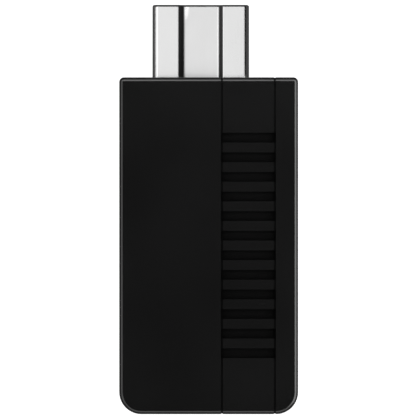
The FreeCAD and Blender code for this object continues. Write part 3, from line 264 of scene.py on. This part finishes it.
def moulded(name, dark, light, rough_low, rough_high, specular, grain=7.0, relief=0.006):
    """Moulded plastic: spark-eroded grain, faint flow clouds, and painted shade that darkens the colour
    and lowers the shine in its grooves and slots.
    """
    shader = Shader(name)
    unshaded_share = shader.painted_hollow_shade(HOLLOW_SHADE_REACH, PAINTED_SHADE_LEAN)
    # painted shade: less shine in hollow places
    shine = shader.math("MULTIPLY", unshaded_share, specular)
    shader.link(shine, shader.surface.inputs["Specular IOR Level"])
    clouds = shader.noise(0.07, 1.0)
    grains = shader.noise(grain, 4.0, 0.65)
    pits = shader.cells(grain * 1.4)
    shade = shader.blend(shader.remap(clouds, *CLOUDS, 0.0, 1.0), dark, light)
    # painted shade: the colour darkens in hollow places, down to 0.3 of the dark tone
    shader.colour(shader.blend(unshaded_share, tuple(value * 0.3 for value in dark), shade))
    dullness = shader.weigh(clouds, 0.2, grains, 0.8)
    shader.rough(shader.remap(dullness, *CLOUDS, rough_low, rough_high))
    shader.bumps((grains, 0.5, relief), (pits, 0.25, relief * 0.6))
    return shader.material


def drawn_metal(name, dark, light, rough_low, rough_high, streak=(11.0, 0.5, 11.0)):
    """Plated sheet metal with fine streaks along the way that it was drawn, and faint handling marks."""
    shader = Shader(name)
    shader.set(Metallic=1.0)
    streaks = shader.noise(streak, 3.0, 0.6)
    clouds = shader.noise(0.2, 1.0)
    marks = shader.cells(1.1)
    shade = shader.weigh(streaks, 0.55, clouds, 0.45)
    shader.colour(shader.blend(shader.remap(shade, *CLOUDS, 0.0, 1.0), dark, light))
    shader.rough(shader.remap(shade, *CLOUDS, rough_high, rough_low))
    shader.bumps((streaks, 0.18, 0.002), (marks, 0.05, 0.003))
    return shader.material


def painted_dark_walls(shader, place, facing, low, high):
    """Painted dark reflection: up to one on the walls of the plug's channel and the bends that lead into
    them.
    """
    middle = (low.x + high.x) / 2
    side = shader.math("SIGN", shader.math("SUBTRACT", place[0], middle))
    inward = shader.math("MULTIPLY", shader.math("MULTIPLY", facing[0], side), -1)
    later = shader.remap(place[2], *(high.z - depth for depth in WALL_DEPTHS), *RIGHT_WALL_LATER)
    on_right = shader.remap(side, -1.0, 1.0, 0.0, 1.0)
    lean = shader.math("SUBTRACT", inward, shader.math("MULTIPLY", on_right, later))
    darkest = shader.remap(side, -1.0, 1.0, 1.0, RIGHT_WALL_PAINTED_DARK)
    return shader.math("MULTIPLY", shader.remap(lean, *WALL_LEANS, 0.0, 1.0), darkest)


def painted_wall_reflection(shader, place, low, high):
    """Painted shade and dark reflection: the left wall's blurred image, painted into the channel's floor
    beside it.
    """
    wall = low.x + LEFT_WALL_ACROSS * (high.x - low.x)
    near = shader.remap(place[0], *(wall + reach for reach in IMAGE_EDGE), PAINTED_IMAGE_DARK, 0.0)
    inside = shader.math("GREATER_THAN", place[0], wall)
    deep = shader.remap(place[2], *(high.z - depth for depth in IMAGE_DEPTHS), 1.0, 0.0)
    return shader.math("MULTIPLY", shader.math("MULTIPLY", near, inside), deep)


def painted_dark_bends(shader, facing):
    """Painted dark reflection: up to the bends' painted darkness, sooner on those that face right or
    towards the tip.
    """
    rise = shader.math("ABSOLUTE", facing[2])
    for sideways in facing[:2]:
        turned = shader.math("MULTIPLY", shader.math("MAXIMUM", sideways), BEND_SIDEWAYS)
        rise = shader.math("SUBTRACT", rise, turned)
    return shader.remap(rise, *BEND_RISES, 0.0, BEND_PAINTED_DARK)


def plug_steel(name):
    """Plated steel sleeve. Seen from straight above, its bends, its channel walls and the floor beside the
    left wall are painted dark, a painted reflection of a dark room.
    """
    low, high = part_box("plug_shell")
    shader = Shader(name)
    shader.set(Specular_IOR_Level=0.0)
    place = shader.split(shader.place)
    facing = shader.split(shader.geometry("Normal"))
    from_above = shader.overhead_view()
    # painted dark reflection on the channel's walls, only when seen from above
    walls = shader.math("MULTIPLY", painted_dark_walls(shader, place, facing, low, high), from_above)
    # painted dark reflections on the bends and on the channel's floor beside the left wall
    others = shader.math("MAXIMUM", painted_dark_bends(shader, facing), painted_wall_reflection(shader, place, low, high))
    dark = shader.math("MAXIMUM", walls, shader.math("MULTIPLY", others, from_above))
    streaks = shader.noise((11.0, 0.5, 11.0), 3.0, 0.6)
    clouds = shader.noise(0.2, 1.0)
    shade = shader.weigh(streaks, 0.4, clouds, 0.6)
    tone = shader.remap(shade, *CLOUDS, 0.0, 1.0)
    plating = shader.blend(tone, (0.78, 0.78, 0.78), (0.805, 0.805, 0.805))
    # the colour is painted near black where the painted dark reflections fall
    shader.colour(shader.blend(dark, plating, (0.02, 0.02, 0.02)))
    # the painted dark walls also lose their metal shine
    shader.link(shader.math("SUBTRACT", 1.0, walls), shader.surface.inputs["Metallic"])
    dent = shader.spot((low.x + DENT_ACROSS * (high.x - low.x), high.y, high.z - DENT_BELOW), DENT_RADII)
    polish = shader.remap(shade, *CLOUDS, 0.26, 0.21)
    deeper = shader.remap(place[2], *(high.z - depth for depth in WALL_DEPTHS), 0.0, 0.08)
    dullness = shader.math("ADD", polish, deeper)
    shader.rough(shader.math("MULTIPLY", dullness, shader.remap(dent, 0.3, 1.0, 0.35, 1.0)))
    shader.bumps((streaks, 0.12, 0.002), (dent, 1.0, DENT_DEPTH))
    return shader.material


def ceramic(name, dark, light, rough, grain=6.0):
    """Sintered ceramic: fine speckle under a dull skin."""
    shader = Shader(name)
    speckle = shader.noise(grain, 5.0, 0.7)
    shader.colour(shader.blend(shader.remap(speckle, 0.35, 0.65, 0.0, 1.0), dark, light))
    shader.rough(shader.remap(speckle, *CLOUDS, rough, rough + 0.14))
    shader.bumps((speckle, 0.3, 0.004))
    return shader.material


def board_laminate(name):
    """Green solder mask over woven glass: a fine cross weave shows through the coat."""
    shader = Shader(name)
    shader.set(Specular_IOR_Level=0.5, Coat_Weight=0.35, Coat_Roughness=0.12)
    weaves = []
    for direction in ("X", "Y"):
        wave = shader.add("ShaderNodeTexWave", bands_direction=direction)
        wave.inputs["Scale"].default_value = 0.32
        wave.inputs["Distortion"].default_value = 0.6
        shader.link(shader.scaled(1.0), wave.inputs["Vector"])
        weaves.append(wave.outputs["Fac"])
    weave = shader.math("MULTIPLY", *weaves)
    clouds = shader.noise(0.4)
    tone = shader.remap(shader.weigh(weave, 0.5, clouds, 0.6), 0.2, 0.9, 0.0, 1.0)
    shader.colour(shader.blend(tone, (0.006, 0.042, 0.020), (0.018, 0.105, 0.045)))
    shader.rough(shader.remap(clouds, *CLOUDS, 0.26, 0.4))
    shader.bumps((weave, 0.2, 0.008))
    return shader.material


def label_film(name):
    """Blank printed film: a thin pale border line inside the edge, and nothing else."""
    shader = Shader(name)
    shader.set(Specular_IOR_Level=0.35)
    low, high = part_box("base_label")
    centre = (low + high) / 2
    half = (high - low) / 2
    place = shader.split(shader.place)
    insets = []
    for axis in (0, 1):
        offset = shader.math("ABSOLUTE", shader.math("SUBTRACT", place[axis], centre[axis]))
        insets.append(shader.math("SUBTRACT", half[axis], offset))
    inset = shader.math("MINIMUM", *insets)
    line = shader.math("COMPARE", inset, BORDER_INSET)
    line.node.inputs[2].default_value = BORDER_HALF_WIDTH
    fibre = shader.noise(3.0, 4.0)
    tone = shader.remap(fibre, *CLOUDS, 0.0, 1.0)
    film = shader.blend(tone, (0.016, 0.016, 0.018), (0.026, 0.026, 0.028))
    shader.colour(shader.blend(line, film, (0.36, 0.36, 0.37)))
    shader.rough(shader.remap(fibre, *CLOUDS, 0.3, 0.42))
    shader.bumps((fibre, 0.15, 0.004))
    return shader.material


def led_resin(name):
    """White package with a yellow phosphor window at its rear face."""
    shader = Shader(name)
    shader.set(Subsurface_Weight=0.15, Subsurface_Scale=0.3 * MM, Coat_Weight=0.4)
    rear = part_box("status_led")[0].y
    window = shader.remap(shader.split(shader.place)[1], *(rear + depth for depth in WINDOW_END), 1.0, 0.0)
    speckle = shader.noise(9.0, 3.0)
    body = shader.blend(speckle, (0.62, 0.62, 0.60), (0.84, 0.84, 0.80))
    shader.colour(shader.blend(window, body, (0.80, 0.62, 0.16)))
    shader.rough(shader.remap(speckle, *CLOUDS, 0.22, 0.4))
    shader.bumps((speckle, 0.2, 0.003))
    return shader.material


def guide_plastic(name):
    """Clear light guide with a frosted skin and faint haze inside."""
    shader = Shader(name)
    shader.set(Transmission_Weight=0.75, IOR=1.49)
    haze = shader.noise(2.2, 4.0)
    frost = shader.noise(14.0, 3.0)
    shader.colour(shader.blend(haze, (0.62, 0.68, 0.70), (0.86, 0.90, 0.92)))
    shader.rough(shader.remap(haze, *CLOUDS, 0.22, 0.45))
    shader.bumps((frost, 0.3, 0.004))
    return shader.material


def solder(name):
    """Reflowed solder: bright, with frosty grains."""
    shader = Shader(name)
    shader.set(Metallic=1.0)
    grains = shader.noise(8.0, 4.0, 0.7)
    shader.colour(shader.blend(grains, (0.46, 0.46, 0.46), (0.78, 0.78, 0.76)))
    shader.rough(shader.remap(grains, *CLOUDS, 0.18, 0.44))
    shader.bumps((grains, 0.4, 0.006))
    return shader.material


def finishes():
    """One material for each slot of the record, and the solder that only this script adds."""
    case = ((0.0020,) * 3, (0.0027,) * 3)
    button = ((0.0020, 0.0020, 0.0021), (0.0060, 0.0060, 0.0064))
    core = ((0.006, 0.006, 0.006), (0.014, 0.014, 0.015))
    resin = ((0.010, 0.010, 0.011), (0.020, 0.020, 0.021))
    amber = ((0.42, 0.20, 0.03), (0.60, 0.33, 0.06))
    ivory = ((0.62, 0.60, 0.54), (0.74, 0.72, 0.66))
    port = ((0.52, 0.52, 0.50), (0.66, 0.66, 0.64))
    can = ((0.58, 0.57, 0.54), (0.72, 0.71, 0.68))
    spring = ((0.50, 0.50, 0.50), (0.68, 0.68, 0.68))
    screw = ((0.10, 0.10, 0.11), (0.20, 0.20, 0.21))
    tin = ((0.55, 0.55, 0.54), (0.74, 0.74, 0.72))
    gold = ((0.72, 0.48, 0.17), (0.90, 0.66, 0.30))
    return {
        "case_plastic": moulded("case_plastic", *case, 0.14, 0.20, 0.5, 7.0, 0.003),
        "button_plastic": moulded("button_plastic", *button, 0.26, 0.36, 0.4, 10.0, 0.003),
        "plug_core_plastic": moulded("plug_core_plastic", *core, 0.3, 0.5, 0.4, 4.0),
        "chip_resin": moulded("chip_resin", *resin, 0.38, 0.58, 0.45, 9.0, 0.004),
        "tank_resin": moulded("tank_resin", *amber, 0.3, 0.42, 0.5, 8.0, 0.003),
        "switch_resin": moulded("switch_resin", *resin, 0.3, 0.44, 0.45, 6.0, 0.004),
        "switch_plunger_resin": moulded("switch_plunger_resin", *ivory, 0.3, 0.44, 0.5, 6.0, 0.003),
        "plug_steel": plug_steel("plug_steel"),
        "port_steel": drawn_metal("port_steel", *port, 0.24, 0.36),
        "can_steel": drawn_metal("can_steel", *can, 0.22, 0.36),
        "spring_steel": drawn_metal("spring_steel", *spring, 0.16, 0.26),
        "screw_steel": drawn_metal("screw_steel", *screw, 0.28, 0.42, (6.0,) * 3),
        "tinned_lead": drawn_metal("tinned_lead", *tin, 0.26, 0.4, (7.0,) * 3),
        "contact_plate": drawn_metal("contact_plate", *gold, 0.16, 0.28),
        "ferrite": ceramic("ferrite", (0.030, 0.030, 0.033), (0.062, 0.062, 0.066), 0.5),
        "antenna_ceramic": ceramic("antenna_ceramic", (0.60, 0.62, 0.62), (0.78, 0.79, 0.78), 0.25),
        "capacitor_ceramic": ceramic("capacitor_ceramic", (0.30, 0.19, 0.11), (0.44, 0.30, 0.20), 0.38),
        "resistor_ceramic": ceramic("resistor_ceramic", (0.018, 0.018, 0.022), (0.040, 0.040, 0.046), 0.2),
        "board_laminate": board_laminate("board_laminate"),
        "label_film": label_film("label_film"),
        "led_resin": led_resin("led_resin"),
        "guide_plastic": guide_plastic("guide_plastic"),
        "solder": solder("solder"),
    }


def paint(piece, material):
    """Gives every face of a piece one material."""
    piece.data.materials.clear()
    piece.data.materials.append(material)


FINISH = finishes()
for node_name, node_object in NODES.items():
    paint(node_object, FINISH[SLOT_OF[node_name]])


# ---------------------------------------------------------------- pieces made here

DOME_RISE = 0.45 * MM
DOME_SHEET = 0.08 * MM
DOME_TURNS = 72
DOME_STEPS = 14
SOLDER_REACH = 0.13 * MM  # how far a fillet spreads from a foot
SOLDER_RISE = 0.13 * MM  # how far it climbs: less than the thickness of the leads
SOLDER_SINK = 0.01 * MM
SOLDER_LEVELS = (0.0, 0.15, 0.35, 0.6, 0.85, 1.0)
CORNER_RADIUS = 0.03 * MM  # of a fillet's outline where it meets the foot
CORNER_STEPS = 5
TOUCHING = 0.02 * MM
WELD = 1e-7


def new_piece(name, mesh, finish):
    """Turns a bmesh into a smooth piece that rides on the case."""
    bmesh.ops.recalc_face_normals(mesh, faces=mesh.faces)
    data = bpy.data.meshes.new(name)
    mesh.to_mesh(data)
    mesh.free()
    data.polygons.foreach_set("use_smooth", [True] * len(data.polygons))
    made = bpy.data.objects.new(name, data)
    bpy.context.scene.collection.objects.link(made)
    paint(made, FINISH[finish])
    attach(made, "case")
    return made


def join_rings(mesh, rings):
    """Faces between neighbouring rings of points."""
    for first, second in zip(rings, rings[1:]):
        for index in range(len(first)):
            after = (index + 1) % len(first)
            mesh.faces.new((first[index], first[after], second[after], second[index]))


def snap_dome():
    """The switch's domed spring, drawn at rest; the real one flattens as the button goes in. It has the
    CAD disc's size.
    """
    low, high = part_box("switch_dome")
    reach = (high.x - low.x) / 2
    outer = (reach**2 + DOME_RISE**2) / (2 * DOME_RISE)
    centre = Vector(((low.x + high.x) / 2, low.y + outer, (low.z + high.z) / 2))
    widest = math.asin(reach / outer)
    mesh = bmesh.new()
    profile = [(outer, widest * step / DOME_STEPS) for step in range(1, DOME_STEPS + 1)]
    inner = [(outer - DOME_SHEET, angle) for _, angle in reversed(profile)]
    rings = []
    for radius, angle in profile + inner:
        out, along = radius * math.sin(angle), -radius * math.cos(angle)
        ring = []
        for index in range(DOME_TURNS):
            turn = math.tau * index / DOME_TURNS
            spoke = Vector((out * math.cos(turn), along, out * math.sin(turn)))
            ring.append(mesh.verts.new(centre + spoke))
        rings.append(ring)
    join_rings(mesh, rings)
    for ring, radius in ((rings[0], outer), (rings[-1], outer - DOME_SHEET)):
        tip = mesh.verts.new(centre - Vector((0, radius, 0)))
        for index in range(DOME_TURNS):
            mesh.faces.new((ring[index], ring[(index + 1) % DOME_TURNS], tip))
    made = new_piece("snap_dome", mesh, "spring_steel")
    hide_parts("switch_dome")
    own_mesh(made)


def loose_parts(node):
    """The separate solids of a node, each as a list of its points."""
    mesh = bmesh.new()
    mesh.from_mesh(NODES[node].data)
    bmesh.ops.remove_doubles(mesh, verts=mesh.verts, dist=WELD)
    left, parts = set(mesh.verts), []
    while left:
        found = [left.pop()]
        for vertex in found:
            near = {edge.other_vert(vertex) for edge in vertex.link_edges} & left
            left -= near
            found.extend(near)
        parts.append([vertex.co.copy() for vertex in found])
    mesh.free()
    return parts


def rounded_outline(low, high, spread, level):
    """Points of a rectangle with round corners, spread outwards from low and high, at a level."""
    radius = spread + CORNER_RADIUS
    points = []
    for corner, (x_sign, y_sign) in enumerate(((1, 1), (-1, 1), (-1, -1), (1, -1))):
        x = (high.x + spread - radius) if x_sign > 0 else (low.x - spread + radius)
        y = (high.y + spread - radius) if y_sign > 0 else (low.y - spread + radius)
        for step in range(CORNER_STEPS):
            turn = math.radians(90) * (corner + step / (CORNER_STEPS - 1))
            points.append(Vector((x + radius * math.cos(turn), y + radius * math.sin(turn), level)))
    return points


def add_fillet(mesh, foot, surface, up):
    """A hollow-sided skirt of solder round the points of a foot, on one face of the board."""
    low = Vector((min(point.x for point in foot), min(point.y for point in foot), 0))
    high = Vector((max(point.x for point in foot), max(point.y for point in foot), 0))
    rings = [rounded_outline(low, high, SOLDER_REACH, surface - up * SOLDER_SINK)]
    for share in SOLDER_LEVELS:
        spread = SOLDER_REACH * (1 - share) ** 2
        rings.append(rounded_outline(low, high, spread, surface + up * SOLDER_RISE * share))
    rings = [[mesh.verts.new(point) for point in ring] for ring in rings]
    join_rings(mesh, rings)
    mesh.faces.new(rings[0])
    mesh.faces.new(rings[-1])


def solder_fillets():
    """Solder round every lead, contact tail and chip end, where it stands on the board."""
    board_low, board_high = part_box("circuit_board")
    mesh = bmesh.new()
    for node, surface, up in (
        ("flash_leads", board_high.z, 1),
        ("regulator_leads", board_high.z, 1),
        ("chip_ends", board_high.z, 1),
        ("plug_contacts_upper", board_high.z, 1),
        ("plug_contacts_lower", board_low.z, -1),
    ):
        for part in loose_parts(node):
            foot = [point for point in part if abs(point.z - surface) < TOUCHING]
            for point in foot:
                point.y = min(point.y, board_high.y - SOLDER_REACH)
            add_fillet(mesh, foot, surface, up)
    new_piece("solder_fillets", mesh, "solder")


snap_dome()
solder_fillets()


# ---------------------------------------------------------------- stage, lights, camera

LENS = 1600.0  # mm: long, so that the view is almost a parallel one
SENSOR = 36.0
CENTRE = (CAD_BOX[0] + CAD_BOX[1]) / 2
FRAME_WIDTH = 53.72 * MM
CLIPPING = (0.1, 20)  # times the camera's distance
CAMERA_CENTRE = Vector((-0.084 * MM, 4.875 * MM, 0.0))
FLOOR_SIZE = 6.0
FLOOR_DROP = 0.02 * MM  # keeps it clear of the case's underside
FLOOR_GLOW = (0.8, 1.0)  # seen from the side, where soft shadows show on it, and from straight above
FLOOR_IN_REFLECTIONS = (0.015, 0.2)  # glow of the floor in reflections, with painted shade: beside the object, and clear of it
CLEAR_OF_OBJECT = 9.0 * MM
UNDERSIDE = 0.5 * MM  # rays shorter than this come from the case's underside
CEILING_GLOW = 0.015
RING_GLOW = 0.32
RING_TILTS = (62, 54)  # degrees off vertical between which the ring gives way to the ceiling
ROOM_DISTANCE = 0.5
ROOM_TILT = 66
ROOM_BOX = 0.3
ROOM_RADIANCE = 2.2
OVERHEAD_HEIGHT = 0.5
OVERHEAD_STEP = 0.05  # how much lower each box hangs than the one before
OVERHEAD_BOXES = (  # degrees off vertical that each one spans: left, right, far, near; then its radiance
    ("overhead_box", 50, 20, 22, 42, 0.93),
    ("accent_box", 32, -7, 22, 42, 0.5),
)
LOW_DISTANCE = 0.3
LOW_TILTS = (60, 88)  # degrees off vertical that the plug's four low panels span
LOW_GLOW = 0.8
UNDER_GLOW = 0.5
STRIP_DISTANCE = 0.3
STRIP_LENGTH = 0.36
RIM_STRIPS = (  # heading, the degrees off vertical that each one spans, and its radiance
    ("left_strip", 180, 20, 58, 1.75),
    ("right_strip", 0, 20, 68, 4.4),
    ("far_strip", 90, 15, 48, 3.5),
    ("near_strip", -90, 30, 60, 1.8),
)


def floor():
    """Plain pale floor that glows, so that its shadows stay faint. In reflections it is a dim glow with
    painted shade, darker near the object. It's clear when seen from below.
    """
    bpy.ops.mesh.primitive_plane_add(size=FLOOR_SIZE, location=(0, 0, CAD_BOX[0].z - FLOOR_DROP))
    made = bpy.context.object
    made.name = "floor"
    shader = Shader("floor_paint")
    shader.set(Specular_IOR_Level=0.0, Roughness=1.0)
    tone = shader.noise(0.02, 2.0)
    shader.colour(shader.blend(tone, (0.50, 0.50, 0.50), (0.54, 0.54, 0.54)))
    glow = shader.add("ShaderNodeEmission")
    rays = shader.add("ShaderNodeLightPath")
    brightness = shader.remap(shader.overhead_view(), 0.0, 1.0, *FLOOR_GLOW)
    strength = shader.math("MULTIPLY", rays.outputs["Is Camera Ray"], brightness)
    shader.link(strength, glow.inputs["Strength"])
    both = shader.add("ShaderNodeAddShader")
    shader.link(shader.surface.outputs["BSDF"], both.inputs[0])
    shader.link(glow.outputs["Emission"], both.inputs[1])
    # what glossy rays see: a dim glow, with painted shade that darkens it near the object
    dark = shader.add("ShaderNodeEmission")
    place = shader.split(shader.place)
    gaps = []
    for axis in (0, 1):
        offset = shader.math("ABSOLUTE", shader.math("SUBTRACT", place[axis], CENTRE[axis]))
        gaps.append(shader.math("SUBTRACT", offset, (CAD_BOX[1] - CAD_BOX[0])[axis] / 2))
    gap = shader.math("MAXIMUM", *gaps)
    shader.link(shader.remap(gap, 0.0, CLEAR_OF_OBJECT, *FLOOR_IN_REFLECTIONS), dark.inputs["Strength"])
    pick = shader.add("ShaderNodeMixShader")
    shader.link(rays.outputs["Is Glossy Ray"], pick.inputs["Fac"])
    shader.link(both.outputs["Shader"], pick.inputs[1])
    shader.link(dark.outputs["Emission"], pick.inputs[2])
    starts_here = shader.math("LESS_THAN", rays.outputs["Ray Length"], UNDERSIDE)
    behind = shader.geometry("Backfacing")
    clear = shader.add("ShaderNodeMixShader")
    shader.link(shader.math("MAXIMUM", starts_here, behind), clear.inputs["Fac"])
    shader.link(pick.outputs["Shader"], clear.inputs[1])
    shader.link(shader.add("ShaderNodeBsdfTransparent").outputs["BSDF"], clear.inputs[2])
    output = shader.tree.nodes["Material Output"]
    shader.link(clear.outputs["Shader"], output.inputs["Surface"])
    paint(made, shader.material)


def panel(name, place, aim, width, length, radiance, receivers=None, mirrored=True):
    """A softbox at a place, aimed at a point. With receivers, it lights only those objects."""
    data = bpy.data.lights.new(name, "AREA")
    data.shape = "RECTANGLE"
    data.size = width
    data.size_y = length
    data.energy = radiance * width * length * math.pi
    made = bpy.data.objects.new(name, data)
    bpy.context.scene.collection.objects.link(made)
    made.location = place
    made.rotation_euler = (place - aim).to_track_quat("Z", "Y").to_euler()
    made.visible_camera = False
    made.visible_glossy = mirrored
    if receivers:
        lit = bpy.data.collections.new(f"{name}_receivers")
        for piece in receivers:
            lit.objects.link(piece)
        made.light_linking.receiver_collection = lit


def direction(tilt, heading):
    """A unit vector: tilt is from straight up, heading is from +X towards +Y, both in degrees."""
    lean, turn = math.radians(tilt), math.radians(heading)
    return Vector((math.sin(lean) * math.cos(turn), math.sin(lean) * math.sin(turn), math.cos(lean)))


def lights():
    """Boxes over, round and under the plug, strips that edge the black case, and four room boxes."""
    plug_centre = sum(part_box("plug_shell"), Vector()) / 2
    metal = [NODES[name] for name in ("plug_shell", "plug_insulator")]
    for index, (name, *spans, radiance) in enumerate(OVERHEAD_BOXES):
        height = OVERHEAD_HEIGHT - OVERHEAD_STEP * index
        left, right, far, near = (height * math.tan(math.radians(angle)) for angle in spans)
        above = plug_centre + Vector(((right - left) / 2, (far - near) / 2, height))
        panel(name, above, above - Vector((0, 0, 1)), right + left, far + near, radiance, metal)
    top, bottom = (LOW_DISTANCE / math.tan(math.radians(tilt)) for tilt in LOW_TILTS)
    for heading in (0, 90, 180, 270):
        aim = plug_centre + Vector((0, 0, (top + bottom) / 2))
        place = aim + direction(90, heading) * LOW_DISTANCE
        panel(f"low_panel_{heading}", place, aim, 2 * LOW_DISTANCE, top - bottom, LOW_GLOW, metal)
    under = Vector((plug_centre.x, plug_centre.y, CAD_BOX[0].z))
    side = 2 * LOW_DISTANCE
    panel("under_panel", under, under + Vector((0, 0, 1)), side, side, UNDER_GLOW, metal)
    dark_pieces = [piece for piece in NODES.values() if piece not in metal]
    for name, heading, low, high, radiance in RIM_STRIPS:
        width = 2 * STRIP_DISTANCE * math.tan(math.radians((high - low) / 2))
        place = CENTRE + direction((low + high) / 2, heading) * STRIP_DISTANCE
        panel(name, place, CENTRE, STRIP_LENGTH, width, radiance, dark_pieces)
    for index, heading in enumerate((45, 135, 225, 315)):
        place = CENTRE + direction(ROOM_TILT, heading) * ROOM_DISTANCE
        panel(f"room_box_{index}", place, CENTRE, ROOM_BOX, ROOM_BOX, ROOM_RADIANCE, mirrored=False)


def surroundings():
    """A room for reflections: dark overhead, a pale ring low down, white where the camera sees it."""
    world = bpy.data.worlds.new("studio")
    bpy.context.scene.world = world
    world.use_nodes = True
    tree = world.node_tree
    background = tree.nodes["Background"]
    rays = tree.nodes.new("ShaderNodeLightPath")
    heading = tree.nodes.new("ShaderNodeTexCoord")
    split = tree.nodes.new("ShaderNodeSeparateXYZ")
    tree.links.new(heading.outputs["Generated"], split.inputs["Vector"])
    ring = tree.nodes.new("ShaderNodeMapRange")
    for end, tilt in zip(("From Min", "From Max"), RING_TILTS):
        ring.inputs[end].default_value = math.cos(math.radians(tilt))
    ring.inputs["To Min"].default_value = RING_GLOW
    ring.inputs["To Max"].default_value = CEILING_GLOW
    tree.links.new(split.outputs["Z"], ring.inputs["Value"])
    pick = tree.nodes.new("ShaderNodeMix")
    tree.links.new(rays.outputs["Is Camera Ray"], pick.inputs["Factor"])
    tree.links.new(ring.outputs["Result"], pick.inputs["A"])
    pick.inputs["B"].default_value = 1.0
    tree.links.new(pick.outputs["Result"], background.inputs["Strength"])
    background.inputs["Color"].default_value = (1.0, 1.0, 1.0, 1.0)


def camera():
    """Looks straight down with the plug pointing up the picture."""
    data = bpy.data.cameras.new("camera")
    data.lens = LENS
    data.sensor_width = SENSOR
    made = bpy.data.objects.new("camera", data)
    bpy.context.scene.collection.objects.link(made)
    distance = FRAME_WIDTH * LENS / SENSOR
    made.location = CAMERA_CENTRE + Vector((0, 0, CAD_BOX[1].z + distance))
    data.clip_start, data.clip_end = (distance * times for times in CLIPPING)
    bpy.context.scene.camera = made


floor()
lights()
surroundings()
camera()
bpy.context.scene.view_settings.view_transform = "Standard"
